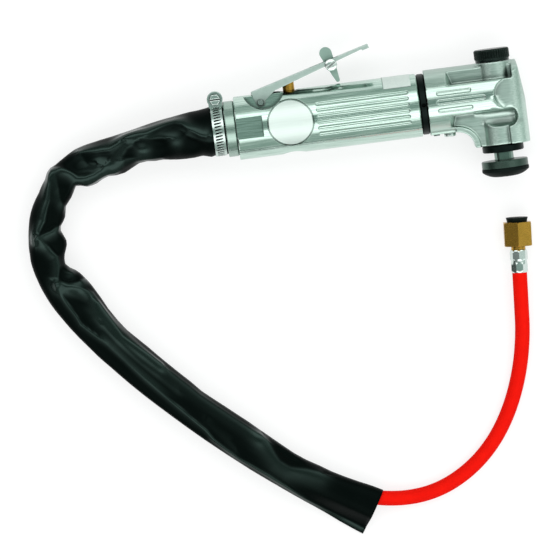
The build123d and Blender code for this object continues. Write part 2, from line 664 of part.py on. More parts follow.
def make_safety_latch():
    """Lock-off latch: thumb lobe above the lever, finger below that stops on the barrel."""
    hub = Circle(LATCH_HUB_R)
    lobe = Pos(*LATCH_LOBE_AT) * Circle(LATCH_LOBE_R)
    finger = Pos(*LATCH_FINGER_AT) * Circle(LATCH_FINGER_R)
    tip = Pos(*LATCH_TIP_AT) * Circle(LATCH_TIP_R)
    outline = make_hull(hub.edges() + lobe.edges())
    outline += make_hull(hub.edges() + finger.edges())
    outline += make_hull(finger.edges() + tip.edges())
    latch = extrude(outline, LATCH_WIDTH / 2, both=True)
    latch -= along_z(LATCH_SCREW_R + RUN_FIT, -LATCH_WIDTH, LATCH_WIDTH)
    return Pos(latch_pivot()) * latch


def make_latch_screw():
    """Pivot screw of the latch, with a low round head at each side of the lever."""
    half = LEVER_WIDTH / 2
    screw = along_z(LATCH_SCREW_R, -half, half)
    for side in (-1, 1):
        z = side * (half + LATCH_HEAD_HEIGHT / 2)
        head = Pos(0, 0, z) * Cylinder(LATCH_HEAD_R, LATCH_HEAD_HEIGHT)
        screw += chamfer(round_edges(head).sort_by(Axis.Z)[:: -side][:1], LATCH_HEAD_EDGE)
    return Pos(latch_pivot()) * screw


def make_latch_spring():
    """Torsion spring beside the latch, drawn as the tube that its turns fill."""
    z0 = LATCH_WIDTH / 2 + GAP
    z1 = LEVER_WIDTH / 2 - LEVER_SHEET - GAP
    spring = along_z(LATCH_SPRING_R, z0, z1) - along_z(LATCH_SPRING_R - LATCH_SPRING_WALL, z0, z1)
    return Pos(latch_pivot()) * spring


def plunger_top():
    """Height of the plunger's dome: it stops a little short of the lever's top plate."""
    angle = math.radians(LEVER_REST_ANGLE)
    plate = LEVER_HEIGHT - LEVER_SHEET
    reach = (X_PLUNGER - X_LEVER_PIN + plate * math.sin(angle)) / math.cos(angle)
    underside = LEVER_PIN_Y + reach * math.sin(angle) + plate * math.cos(angle)
    return underside - PLUNGER_LEVER_GAP


def make_valve_plunger():
    """Brass push button with its stem and valve head in one piece."""
    top = plunger_top()
    head_top = VALVE_SEAT_Y - RUN_FIT - VALVE_SEAL_HEIGHT
    plunger = along_y(PLUNGER_R, PLUNGER_STEM_TOP, top, X_PLUNGER)
    dome = Pos(X_PLUNGER, top - PLUNGER_DOME_R, 0) * Sphere(PLUNGER_DOME_R)
    dome += along_y(PLUNGER_R, PLUNGER_STEM_TOP, top - PLUNGER_R, X_PLUNGER)
    plunger = plunger & dome
    plunger += along_y(PLUNGER_STEM_R, head_top, PLUNGER_STEM_TOP, X_PLUNGER)
    return plunger + along_y(VALVE_HEAD_R, head_top - VALVE_HEAD_HEIGHT, head_top, X_PLUNGER)


def make_valve_seal():
    """Rubber washer on the valve head."""
    seal_bottom = VALVE_SEAT_Y - RUN_FIT - VALVE_SEAL_HEIGHT
    seal = along_y(VALVE_HEAD_R, seal_bottom, VALVE_SEAT_Y - RUN_FIT, X_PLUNGER)
    return seal - along_y(PLUNGER_STEM_R + SLIP, seal_bottom - PAST, VALVE_SEAT_Y + PAST, X_PLUNGER)


def make_valve_guide():
    """Bushing that guides the plunger. Its lower end is the valve seat."""
    guide = along_y(VALVE_BORE_R - SLIP, VALVE_SEAT_Y, SPOT_FACE_Y, X_PLUNGER)
    guide -= along_y(PLUNGER_R + RUN_FIT, VALVE_SEAT_Y - PAST, SPOT_FACE_Y + PAST, X_PLUNGER)
    return guide - along_x(FEED_R, X_PLUNGER, X_PLUNGER + VALVE_BORE_R + PAST, FEED_Y)


def make_valve_spring():
    """Return spring under the valve head, drawn as the tube that its turns fill."""
    top = VALVE_SEAT_Y - RUN_FIT - VALVE_SEAL_HEIGHT - VALVE_HEAD_HEIGHT - SLIP
    spring = along_y(VALVE_HEAD_R - RUN_FIT, VALVE_BORE_FLOOR, top, X_PLUNGER)
    return spring - along_y(VALVE_HEAD_R - VALVE_SPRING_WIRE, VALVE_BORE_FLOOR, top, X_PLUNGER)


def make_end_plate(x0, x1, bearing_x0, bearing_x1, bearing_r, journal_r):
    """End plate of the motor, bored for its bearing and the rotor's journal."""
    plate = along_x(MOTOR_BORE_R - SLIP, x0, x1)
    plate -= along_x(journal_r + GAP, x0 - PAST, x1 + PAST)
    return plate - along_x(bearing_r, bearing_x0, bearing_x1)


def make_bearing(outer_r, bore_r, x0, x1, y=0.0):
    """A bearing as one ring, with a running bore."""
    return along_x(outer_r - SLIP, x0, x1, y) - along_x(bore_r + RUN_FIT, x0, x1, y)


def make_cylinder_liner():
    """Liner with its bore off the rotor's axis and an exhaust port low on one side."""
    liner = along_x(MOTOR_BORE_R - SLIP, X_LINER_REAR, X_LINER_FRONT)
    liner -= along_x(LINER_BORE_R, X_LINER_REAR, X_LINER_FRONT, ROTOR_OFFSET)
    third = LINER_LENGTH / 3
    port = block(X_LINER_REAR + third, X_LINER_FRONT - third, -FEED_R, FEED_R, 0, MOTOR_BORE_R)
    return liner - port


def vane_box(extra):
    """A radial plate in the rotor, widened by extra for its slot."""
    x0 = X_LINER_REAR + ROTOR_END_GAP
    x1 = X_LINER_FRONT - ROTOR_END_GAP
    half = VANE_THICKNESS / 2 + extra
    return block(x0, x1, ROTOR_R - VANE_HEIGHT - extra, ROTOR_R + extra * PAST, -half, half)


def make_rotor():
    """Slotted rotor with both journals and the square that drives the crank."""
    x0 = X_LINER_REAR + ROTOR_END_GAP
    x1 = X_LINER_FRONT - ROTOR_END_GAP
    rotor = along_x(ROTOR_R, x0, x1)
    for i in range(VANE_COUNT):
        rotor -= Rot(i * 360 / VANE_COUNT, 0, 0) * vane_box(SLIP)
    rotor += along_x(REAR_JOURNAL_R, X_BORE_END + ROTOR_END_GAP, x0)
    rotor += along_x(FRONT_JOURNAL_R, x1, X_JOURNAL_END)
    half = SQUARE_SIDE / 2
    return rotor + block(X_JOURNAL_END, X_SQUARE_END, -half, half, -half, half)


def make_rotor_vanes():
    """The vanes, each a plate of its own, drawn in flush with the rotor."""
    vanes = []
    for i in range(VANE_COUNT):
        plate = vane_box(0) & along_x(ROTOR_R, X_LINER_REAR, X_LINER_FRONT)
        vanes.append(Rot(i * 360 / VANE_COUNT, 0, 0) * plate)
    return Compound([solid for vane in vanes for solid in vane.solids()])


def make_crank_shaft():
    """Shaft from the rotor's square through the crank bearing to the off-centre pin."""
    socket = X_JOURNAL_END + GAP
    socket_end = X_SQUARE_END + GAP
    shoulder = socket_end + CRANK_SHAFT_R
    shaft = along_x(CRANK_SOCKET_R, socket, shoulder)
    half = SQUARE_SIDE / 2 + RUN_FIT
    shaft -= block(socket - PAST, socket_end, -half, half, -half, half)
    shaft += along_x(CRANK_SHAFT_R, shoulder, X_CRANK_DISC)
    shaft += along_x(CRANK_DISC_R, X_CRANK_DISC, X_CRANK_PIN)
    return shaft + along_x(CRANK_PIN_R, X_CRANK_PIN, X_CRANK_PIN + CRANK_PIN_LENGTH, ECCENTRIC)


def make_rocker_fork():
    """Fork on the spindle whose two tines stand either side of the eccentric bearing."""
    fork = along_y(FORK_RING_R, -FORK_RING_HALF, FORK_RING_HALF)
    tine = block(
        -FORK_TIP, 0, -FORK_TINE_HALF, FORK_TINE_HALF, FORK_GAP_HALF, FORK_GAP_HALF + FORK_TINE
    )
    fork += both_sides(tine) & along_y(FORK_TIP + PAST, -FORK_TINE_HALF, FORK_TINE_HALF)
    return fork - along_y(SPINDLE_R + SLIP, -FORK_RING_HALF - PAST, FORK_RING_HALF + PAST)


def make_spindle():
    """Hollow spindle: two bush journals, the flatted neck below and the knob's seat above."""
    end = DISC_TOP - DISC_OVERLAP
    spindle = along_y(SPINDLE_R, end, HEAD_TOP)
    flat = block(
        -BUSH_R, BUSH_R, end - PAST, FLANGE_BOTTOM, NECK_ACROSS_FLATS / 2, BUSH_R
    )
    spindle -= both_sides(flat)
    spindle -= along_y(ROD_R + RUN_FIT, end - PAST, HEAD_TOP + PAST)
    stem_end = KNOB_BOTTOM - KNOB_STEM_LENGTH
    return spindle - along_y(KNOB_STEM_R + RUN_FIT, stem_end - GAP, HEAD_TOP + PAST)


def make_spindle_bush(top, length):
    """Plain bearing bush of the spindle."""
    bush = along_y(BUSH_R - SLIP, top - length, top)
    return bush - along_y(SPINDLE_R + RUN_FIT, top - length - PAST, top + PAST)


def make_spindle_flange():
    """Black washer on the spindle under the head, the blade's upper clamp face."""
    flange = along_y(SPINDLE_FLANGE_R, FLANGE_BOTTOM, FLANGE_BOTTOM + SPINDLE_FLANGE_HEIGHT)
    flange = chamfer(round_edges(flange), SPINDLE_FLANGE_EDGE)
    return flange - along_y(SPINDLE_R + SLIP, FLANGE_BOTTOM - PAST, BOSS_BOTTOM + PAST)


def make_clamp_rod():
    """Draw rod with the clamp disc, recessed so that it can rise over the spindle's neck."""
    rod = along_y(DISC_R, DISC_BOTTOM, DISC_TOP)
    rod = chamfer(round_edges(rod), DISC_EDGE)
    recess = DISC_OVERLAP + CLAMP_TRAVEL + GAP
    rod -= along_y(SPINDLE_R + GAP, DISC_TOP - recess, DISC_TOP + PAST)
    return rod + along_y(ROD_R, DISC_BOTTOM, HEAD_TOP - GAP)


def make_disc_cap():
    """Black domed cap under the clamp disc."""
    bottom = DISC_BOTTOM - CAP_HEIGHT
    shoulder = DISC_BOTTOM - CAP_RIM
    side = Polyline(
        (CAP_FLAT_R, bottom), (0, bottom), (0, DISC_BOTTOM), (CAP_R, DISC_BOTTOM), (CAP_R, shoulder)
    )
    dome = SagittaArc((CAP_R, shoulder), (CAP_FLAT_R, bottom), CAP_BULGE)
    return revolve(make_face(side.edges() + dome.edges()), Axis.Y)


def make_clamp_knob():
    """Knob on top of the head. Its threaded stem runs down into the spindle."""
    top = KNOB_BOTTOM + KNOB_HEIGHT
    collar_top = KNOB_BOTTOM + KNOB_COLLAR_HEIGHT
    knob = along_y(KNOB_R, collar_top, top)
    knob = fillet(round_edges(knob).sort_by(Axis.Y)[-1:], KNOB_EDGE)
    knob += along_y(KNOB_R - KNOB_COLLAR_STEP, KNOB_BOTTOM, collar_top)
    knob += along_y(KNOB_STEM_R, KNOB_BOTTOM - KNOB_STEM_LENGTH, KNOB_BOTTOM)
    return knob - along_y(ROD_R + RUN_FIT, KNOB_BOTTOM - KNOB_STEM_LENGTH - PAST, top - KNOB_ROOF)


def make_rating_label():
    """Bare label wrapped over the top of the barrel."""
    middle_x = X_BODY_FRONT - LABEL_FROM_FRONT - LABEL_WIDTH / 2
    strip = Pos(middle_x, BODY_R + LABEL_THICKNESS / 2) * Rectangle(LABEL_WIDTH, LABEL_THICKNESS)
    return Rot(-LABEL_ARC / 2, 0, 0) * revolve(strip, Axis.X, LABEL_ARC)


# Values shared by several pieces
EAR_WEB_HALF = LEVER_WIDTH / 2 - LEVER_SHEET - GAP
UPPER_BUSH_TOP = CAVITY_HALF_HEIGHT + BUSH_SHOULDER + UPPER_BUSH_LENGTH
LOWER_BUSH_TOP = BOSS_BOTTOM + SEAL_LENGTH + LOWER_BUSH_LENGTH
CUFF_R = SPIGOT_R + SLEEVE_WALL
BAND_R = CUFF_R + BAND_THICKNESS
X_BAND_FRONT = X_COLLAR_REAR - BAND_FROM_COLLAR
X_BAND_REAR = X_BAND_FRONT - BAND_WIDTH
X_BAND = (X_BAND_FRONT + X_BAND_REAR) / 2
WORM_Y = BAND_R + WORM_LIFT

# Coupling on the hose's far end: it lies on one corner of its hexagon, pointing nearly along +Y
COUPLING_Z = FLOOR_Z + FLOOR_LIFT + COUPLING_FLATS / 2 / math.cos(math.radians(30))
HOSE_END = (1.2, -126.4)
COUPLING_AXIS = (math.sin(math.radians(COUPLING_LEAN)), math.cos(math.radians(COUPLING_LEAN)))
HOSE_TAIL = 20.0

# Routes of the hose and of the sleeve, as seen from above, with their height over the floor
HOSE_BED = HOSE_R + FLOOR_LIFT
SLEEVE_BED = SLEEVE_R + FLOOR_LIFT
HOSE_IN_SLEEVE = SLEEVE_BED - 4.5
HOSE_ROUTE = [
    (X_HOSE_START, 0.0, -FLOOR_Z),
    (-224.0, 0.0, -FLOOR_Z),
    (-258.0, -6.8, 15.5),
    (-287.6, -12.6, 10.5),
    (-308.3, -26.7, HOSE_IN_SLEEVE),
    (-321.7, -47.8, HOSE_IN_SLEEVE),
    (-325.5, -72.5, HOSE_IN_SLEEVE),
    (-319.1, -96.7, HOSE_IN_SLEEVE),
    (-303.5, -116.3, HOSE_IN_SLEEVE),
    (-276.1, -152.8, HOSE_IN_SLEEVE),
    (-240.1, -189.6, HOSE_IN_SLEEVE),
    (-203.1, -220.0, HOSE_IN_SLEEVE),
    (-161.1, -249.6, HOSE_IN_SLEEVE),
    (-127.1, -268.9, 12.2),
    (-100.1, -274.4, HOSE_BED),
    (-75.0, -271.4, HOSE_BED),
    (-52.2, -260.3, HOSE_BED),
    (-33.4, -243.6, HOSE_BED),
    (-18.8, -221.9, HOSE_BED),
    (-8.2, -196.1, HOSE_BED + 0.3),
    (-2.2, -170.1, HOSE_BED + 2.6),
    (
        HOSE_END[0] - HOSE_TAIL * COUPLING_AXIS[0],
        HOSE_END[1] - HOSE_TAIL * COUPLING_AXIS[1],
        COUPLING_Z - FLOOR_Z,
    ),
    (HOSE_END[0], HOSE_END[1], COUPLING_Z - FLOOR_Z),
]
X_SLEEVE_TUBE = X_SPIGOT_END - SLEEVE_TAPER
SLEEVE_ROUTE = [
    (X_SLEEVE_TUBE, 0.0, -FLOOR_Z),
    (-238.0, 0.0, -FLOOR_Z),
    (-263.0, -6.8, 18.0),
    (-287.6, -12.6, 14.5),
    (-308.3, -26.7, SLEEVE_BED),
    (-321.7, -47.8, SLEEVE_BED),
    (-325.5, -72.5, SLEEVE_BED),
    (-319.1, -96.7, SLEEVE_BED),
    (-303.5, -116.3, SLEEVE_BED),
    (-276.1, -152.8, SLEEVE_BED),
    (-240.1, -189.6, SLEEVE_BED),
    (-203.4, -221.0, SLEEVE_BED),
    (-159.4, -253.8, SLEEVE_BED),
    (-120.2, -275.3, SLEEVE_BED),
]
ARC_SHARE = 0.45


def cord_path(name, route):
    """Straight runs joined by tangent arcs, each as large as its two runs allow."""
    points = [Vector(x, y, z + FLOOR_Z) for x, y, z in route]
    radii = []
    for before, here, after in zip(points, points[1:], points[2:]):
        run = min((here - before).length, (after - here).length)
        turn = (here - before).get_angle(after - here)
        radii.append(ARC_SHARE * run / math.tan(math.radians(turn / 2)))
    print(name, "radii", [round(radius) for radius in radii])
    return FilletPolyline(*points, radius=radii)


def cord_tube(path, radius):
    """A round bar along a cord's path."""
    start = Plane(origin=path @ 0, z_dir=path % 0)
    return sweep(start * Circle(radius), path=path)


def make_exhaust_sleeve():
    """Limp vinyl sleeve: a cuff on the spigot, a taper and the long tube over the hose."""
    path = cord_path("exhaust_sleeve", SLEEVE_ROUTE)
    inner_r = SLEEVE_R - SLEEVE_WALL
    tube = cord_tube(path, SLEEVE_R) - cord_tube(path, inner_r)
    share = math.pi * (SLEEVE_R**2 - inner_r**2) * path.length
    print("exhaust_sleeve volume", round(tube.volume), "section times length", round(share))
    cuff_start = X_SPIGOT_END + SLEEVE_CUFF
    profile = Polyline(
        (cuff_start, SPIGOT_R),
        (cuff_start, CUFF_R),
        (X_SPIGOT_END, CUFF_R),
        (X_SLEEVE_TUBE, SLEEVE_R),
        (X_SLEEVE_TUBE, inner_r),
        (X_SPIGOT_END, SPIGOT_R),
        close=True,
    )
    return tube + revolve(make_face(profile.edges()), Axis.X)


def make_air_hose():
    """Air hose from the inlet bushing, through the sleeve, to the ferrule."""
    path = cord_path("air_hose", HOSE_ROUTE)
    hose = cord_tube(path, HOSE_R) - cord_tube(path, HOSE_BORE_R)
    share = math.pi * (HOSE_R**2 - HOSE_BORE_R**2) * path.length
    print("air_hose volume", round(hose.volume), "section times length", round(share))
    print("air_hose length", round(path.length))
    return hose


def coupling_place():
    """The coupling's own frame: origin at the hose's end, y along the fitting."""
    return Pos(HOSE_END[0], HOSE_END[1], COUPLING_Z) * Rot(0, 0, -COUPLING_LEAN)


def make_hose_ferrule():
    """Crimped steel ferrule on the hose's end."""
    return coupling_place() * along_y(FERRULE_R, 0, FERRULE_LENGTH)


COUPLING_START = FERRULE_LENGTH + COUPLING_NECK
COUPLING_MOUTH = COUPLING_START + COUPLING_LENGTH


def make_hose_coupling():
    """Brass hexagon with a threaded inlet."""
    hexagon = extrude(RegularPolygon(COUPLING_FLATS / 2, 6, major_radius=False), COUPLING_LENGTH)
    corner_r = COUPLING_FLATS / 2 / math.cos(math.radians(30))
    turned = chamfer(round_edges(Cylinder(corner_r, COUPLING_LENGTH)), COUPLING_EDGE)
    hexagon = hexagon & (Pos(0, 0, COUPLING_LENGTH / 2) * turned)
    coupling = Pos(0, COUPLING_START, 0) * Rot(-90, 0, 0) * Rot(0, 0, 30) * hexagon
    coupling += along_y(COUPLING_NECK_R, FERRULE_LENGTH, COUPLING_START)
    coupling -= along_y(COUPLING_BORE_R, FERRULE_LENGTH, COUPLING_MOUTH)
    coupling -= along_y(COUPLING_THREAD_R, COUPLING_MOUTH - COUPLING_THREAD_DEPTH, COUPLING_MOUTH + PAST)
    coupling -= along_y(COUPLING_MOUTH_R, COUPLING_MOUTH - COUPLING_MOUTH_DEPTH, COUPLING_MOUTH + PAST)
    return coupling_place() * coupling


def make_dust_plug():
    """Push-in plug with a flared rim."""
    seat = COUPLING_MOUTH + SLIP
    shank_end = COUPLING_MOUTH - COUPLING_MOUTH_DEPTH + GAP
    shank = along_y(COUPLING_MOUTH_R - PLUG_CLEARANCE, shank_end, seat)
    rim = Pos(0, seat + PLUG_HEIGHT / 2, 0) * Rot(-90, 0, 0) * Cone(PLUG_ROOT_R, PLUG_TOP_R, PLUG_HEIGHT)
    return coupling_place() * (shank + rim)


# Every piece by name. The first group is the tool, the second is what lies free behind it.
set_screw_tip = -CRANK_BEARING_R - SLIP
tool = {
    "motor_housing": make_motor_housing(),
    "head_housing": make_head_housing(),
    "lock_ring": make_lock_ring(),
    "head_set_screw": along_y(
        SET_SCREW_R - SLIP, HEAD_UNDERSIDE - SET_SCREW_PROUD, set_screw_tip, -SET_SCREW_BACK
    ),
    "grease_plug": make_fastener(
        GREASE_PLUG_R,
        GREASE_HEAD_R,
        GREASE_HEAD_HEIGHT,
        GREASE_HEAD_EDGE,
        -GREASE_PLUG_BACK,
        HEAD_UNDERSIDE,
        -CAVITY_HALF_HEIGHT - GAP,
    ),
    "collar_gasket": make_collar_gasket(),
    "exhaust_collar": make_exhaust_collar(),
    "inlet_bushing": make_inlet_bushing(),
    "clamp_band": make_clamp_band(),
    "clamp_screw_housing": make_clamp_screw_housing(),
    "clamp_screw": make_clamp_screw(),
    "rating_label": make_rating_label(),
    "lever_pin": along_z(
        LEVER_PIN_R,
        -LEVER_WIDTH / 2 - LEVER_PIN_PROUD,
        LEVER_WIDTH / 2 + LEVER_PIN_PROUD,
        X_LEVER_PIN,
        LEVER_PIN_Y,
    ),
    "throttle_lever": make_throttle_lever(),
    "latch_screw": make_latch_screw(),
    "latch_spring": make_latch_spring(),
    "safety_latch": make_safety_latch(),
    "valve_plunger": make_valve_plunger(),
    "valve_seal": make_valve_seal(),
    "valve_guide": make_valve_guide(),
    "valve_spring": make_valve_spring(),
    "rear_end_plate": make_end_plate(
        X_BORE_END, X_LINER_REAR, X_BORE_END, X_LINER_REAR - BEARING_LIP, REAR_BEARING_R, REAR_JOURNAL_R
    ),
    "rear_bearing": make_bearing(REAR_BEARING_R, REAR_JOURNAL_R, X_BORE_END, X_LINER_REAR - BEARING_LIP),
    "cylinder_liner": make_cylinder_liner(),
    "rotor": make_rotor(),
    "rotor_vanes": make_rotor_vanes(),
    "front_end_plate": make_end_plate(
        X_LINER_FRONT,
        X_STACK_FRONT,
        X_LINER_FRONT + BEARING_LIP,
        X_STACK_FRONT,
        FRONT_BEARING_R,
        FRONT_JOURNAL_R,
    ),
    "front_bearing": make_bearing(
        FRONT_BEARING_R, FRONT_JOURNAL_R, X_LINER_FRONT + BEARING_LIP, X_STACK_FRONT
    ),
    "crank_shaft": make_crank_shaft(),
    "crank_bearing": make_bearing(CRANK_BEARING_R, CRANK_SHAFT_R, X_CRANK_BEARING, X_CRANK_BEARING_END),
    "eccentric_bearing": make_bearing(
        ECCENTRIC_BEARING_R,
        CRANK_PIN_R,
        X_ECCENTRIC_BEARING,
        X_ECCENTRIC_BEARING + ECCENTRIC_BEARING_WIDTH,
        ECCENTRIC,
    ),
    "rocker_fork": make_rocker_fork(),
    "spindle": make_spindle(),
    "upper_bush": make_spindle_bush(UPPER_BUSH_TOP, UPPER_BUSH_LENGTH),
    "lower_bush": make_spindle_bush(LOWER_BUSH_TOP, LOWER_BUSH_LENGTH),
    "spindle_seal": make_spindle_bush(BOSS_BOTTOM + SEAL_LENGTH, SEAL_LENGTH),
    "spindle_flange": make_spindle_flange(),
    "clamp_rod": make_clamp_rod(),
    "disc_cap": make_disc_cap(),
    "clamp_knob": make_clamp_knob(),
}
free = {
    "exhaust_sleeve": make_exhaust_sleeve(),
    "air_hose": make_air_hose(),
    "hose_ferrule": make_hose_ferrule(),
    "hose_coupling": make_hose_coupling(),
    "dust_plug": make_dust_plug(),
}

# Set the tool down on the floor, with the middle of its box over the origin
box = Compound([solid for piece in tool.values() for solid in piece.solids()]).bounding_box()
SET_DOWN = Pos(-(box.min.X + box.max.X) / 2, -(box.min.Y + box.max.Y) / 2, -box.min.Z)
os.makedirs("parts", exist_ok=True)
for name, piece in {**tool, **free}.items():
    export_step(SET_DOWN * piece, f"parts/{name}.step")
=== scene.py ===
import math

import bmesh
import bpy
import numpy as np
from mathutils import Matrix, Vector


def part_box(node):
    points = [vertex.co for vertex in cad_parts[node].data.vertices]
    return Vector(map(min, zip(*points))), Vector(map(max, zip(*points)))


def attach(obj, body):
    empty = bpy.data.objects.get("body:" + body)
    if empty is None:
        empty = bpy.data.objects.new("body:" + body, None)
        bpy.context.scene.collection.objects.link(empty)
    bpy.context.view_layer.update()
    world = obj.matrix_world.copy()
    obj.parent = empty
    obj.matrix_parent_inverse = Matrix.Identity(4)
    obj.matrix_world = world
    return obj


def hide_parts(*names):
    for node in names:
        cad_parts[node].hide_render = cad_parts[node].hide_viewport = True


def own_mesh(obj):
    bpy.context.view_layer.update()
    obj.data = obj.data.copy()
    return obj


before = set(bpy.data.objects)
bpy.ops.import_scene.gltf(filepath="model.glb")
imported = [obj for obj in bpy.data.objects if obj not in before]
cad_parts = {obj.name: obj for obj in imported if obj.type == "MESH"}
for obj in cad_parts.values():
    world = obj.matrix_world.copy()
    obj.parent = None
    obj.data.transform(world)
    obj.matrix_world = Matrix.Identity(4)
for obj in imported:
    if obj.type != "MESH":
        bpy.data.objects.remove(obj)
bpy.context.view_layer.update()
scene = bpy.context.scene
scene.view_settings.view_transform = "Standard"


# ---- Barrel -------------------------------------------------------------------------------------
# The motor housing is one aluminium casting, machined and buffed by hand to a near mirror, with
# grip flutes, wrench flats and a round pad that is only satin. Everything else is fixed to it.

def linear(code):
    """An sRGB hex colour as linear RGBA."""
    parts = [int(code[i:i + 2], 16) / 255 for i in (1, 3, 5)]
    levels = [c / 12.92 if c <= 0.04045 else ((c + 0.055) / 1.055) ** 2.4 for c in parts]
    return (*levels, 1.0)


def add(tree, kind, inputs=(), **settings):
    """Adds a node with its settings; an input is a value, or an output socket to link."""
    node = tree.nodes.new(kind)
    for name, value in settings.items():
        setattr(node, name, value)
    for socket, value in dict(inputs).items():
        if isinstance(value, bpy.types.NodeSocket):
            tree.links.new(value, node.inputs[socket])
        else:
            node.inputs[socket].default_value = value
    return node


def noise(tree, place, size, detail):
    """Soft noise, with lumps of the given size in metres."""
    inputs = {"Vector": place, "Scale": 1 / size, "Detail": detail}
    return add(tree, "ShaderNodeTexNoise", inputs).outputs[0]


def span(tree, value, given, wanted):
    """Takes a value from one range to another, and stops at its ends."""
    inputs = {"Value": value, "From Min": given[0], "From Max": given[1],
              "To Min": wanted[0], "To Max": wanted[1]}
    return add(tree, "ShaderNodeMapRange", inputs).outputs[0]


def mix(tree, share, first, second, way="MIX"):
    """Blends two colours."""
    inputs = {"Fac": share, "Color1": first, "Color2": second}
    return add(tree, "ShaderNodeMixRGB", inputs, blend_type=way).outputs[0]


def reckon(tree, operation, *values):
    """Does one sum."""
    return add(tree, "ShaderNodeMath", dict(enumerate(values)), operation=operation).outputs[0]


def finish(name, **values):
    """A new material, its tree, its shader with the values that hold all over, and its place."""
    material = bpy.data.materials.new(name)
    material.use_nodes = True
    tree = material.node_tree
    shader = tree.nodes["Principled BSDF"]
    for socket, value in values.items():
        shader.inputs[socket.replace("_", " ")].default_value = value
    return material, tree, shader, add(tree, "ShaderNodeTexCoord").outputs["Object"]


def feed(tree, shader, **outputs):
    """Links outputs to the shader."""
    for socket, output in outputs.items():
        tree.links.new(output, shader.inputs[socket.replace("_", " ")])


def dress(material, *names):
    """Gives CAD nodes their material."""
    for name in names:
        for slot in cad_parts[name].material_slots:
            slot.material = material


def polish(name, light, dark, rough, reach=0.0022, pad=None):
    """Buffed aluminium: broad soft waves from the mop, fine lengthwise grit, edges rounded."""
    material, tree, shader, place = finish(name, Metallic=1.0)
    waves = noise(tree, place, 0.011, 1.5)
    # Buffing lines are 0.1 mm apart on the real piece, and are drawn 0.5 mm apart to show
    grit = (1 / 0.02, 1 / 0.0005, 1 / 0.0005)
    stretch = add(tree, "ShaderNodeMapping", {"Vector": place, "Scale": grit}).outputs[0]
    lines = noise(tree, stretch, 1.0, 2.0)
    relief = reckon(tree, "MULTIPLY_ADD", waves, 12.0, lines)
    round_edge = add(tree, "ShaderNodeBevel", {"Radius": 0.0005}, samples=6).outputs[0]
    bump = add(tree, "ShaderNodeBump", {"Height": relief, "Normal": round_edge, "Strength": 0.06,
                                        "Distance": 0.0002}).outputs[0]
    tone = span(tree, lines, (0.3, 0.66), (0.0, 1.0))
    colour = mix(tree, tone, linear(dark), linear(light))
    roughness = span(tree, lines, (0.3, 0.7), (rough, rough + 0.08))
    if pad:
        # The round pad is duller than the rest, and its colour is painted paler: a painted sheen
        # where its satin face catches the light
        centre, radius, satin = pad
        flat = add(tree, "ShaderNodeVectorMath", {0: place, 1: (1, 1, 0)}, operation="MULTIPLY")
        gap = add(tree, "ShaderNodeVectorMath", {0: flat.outputs[0], 1: centre},
                  operation="DISTANCE").outputs["Value"]
        inside = reckon(tree, "LESS_THAN", gap, radius)
        colour = mix(tree, reckon(tree, "MULTIPLY", inside, 0.8), colour, linear("#EAF3EF"))
        roughness = reckon(tree, "MULTIPLY_ADD", inside, satin - rough, roughness)
    # Corners and grooves are darkened from ambient occlusion: painted shade
    occlusion_shade = add(tree, "ShaderNodeAmbientOcclusion", {"Distance": reach}, samples=8,
                 only_local=True).outputs["AO"]
    colour = mix(tree, 1.0, colour, span(tree, occlusion_shade, (0.4, 0.92), (0.2, 1.0)), "MULTIPLY")
    feed(tree, shader, Base_Color=colour, Roughness=roughness, Normal=bump)
    return material


# The barrel's painted shade from ambient occlusion reaches 3.5 mm, and darkens its slot and flutes
polished_aluminium = polish("polished_aluminium", "#C8DDD3", "#9DB7AB", 0.12, reach=0.0035,
                            pad=((-0.0533, 0.0044, 0.0), 0.0152, 0.52))
dress(polished_aluminium, "motor_housing")


# ---- Angle head ---------------------------------------------------------------------------------
# The head is a second aluminium casting. Its pockets and bosses run into each other in soft
# fillets, and it is tumbled and buffed, so that no outer edge is sharp. Its bores stay as machined.

mid = Vector((0.0918, 0.0044236, 0.02275))    # where the spindle crosses the barrel's axis


def shown(name, data):
    """A new object in the scene."""
    piece = bpy.data.objects.new(name, data)
    scene.collection.objects.link(piece)
    return piece


def baked(piece):
    """The piece's mesh with its modifiers, in place of the piece."""
    bpy.context.view_layer.update()
    mesh = bpy.data.meshes.new_from_object(
        piece.evaluated_get(bpy.context.evaluated_depsgraph_get()))
    bpy.data.objects.remove(piece)
    return mesh


def settled(name, made):
    """A bmesh as a mesh."""
    mesh = bpy.data.meshes.new(name)
    made.to_mesh(mesh)
    made.free()
    return mesh


def smooth(piece, name, chosen, rounds):
    """Smooths the chosen vertices, over and over."""
    group = piece.vertex_groups.new(name=name)
    group.add([int(i) for i in np.nonzero(chosen)[0]], 1.0, "REPLACE")
    modifier = piece.modifiers.new(name, "SMOOTH")
    modifier.factor, modifier.iterations, modifier.vertex_group = 0.5, rounds, name


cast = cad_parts["head_housing"]
welded = bmesh.new()
welded.from_mesh(cast.data)
welded.transform(cast.matrix_world)
bmesh.ops.remove_doubles(welded, verts=welded.verts, dist=1e-6)
rough_head = shown("rough_head", settled("rough_head", welded))
voxels = rough_head.modifiers.new("voxels", "REMESH")
voxels.mode = "VOXEL"
voxels.voxel_size = 0.00045
head_mesh = baked(rough_head)
spots = np.empty(len(head_mesh.vertices) * 3)
head_mesh.vertices.foreach_get("co", spots)
# From here in mm from where the axes cross
x, y, z = (spots.reshape(-1, 3) - np.array(mid)).T * 1000

spindle_bore, motor_bore, motor_depth, rear_face = 9.7, 18.3, -30, -48.4
crank_room = (np.abs(y) < 8.7) & (x < 13) & (np.abs(z) < 14)
bore = (np.hypot(x, z) < spindle_bore) | ((np.hypot(y, z) < motor_bore) & (x < motor_depth))
bore |= (x < rear_face) | crank_room
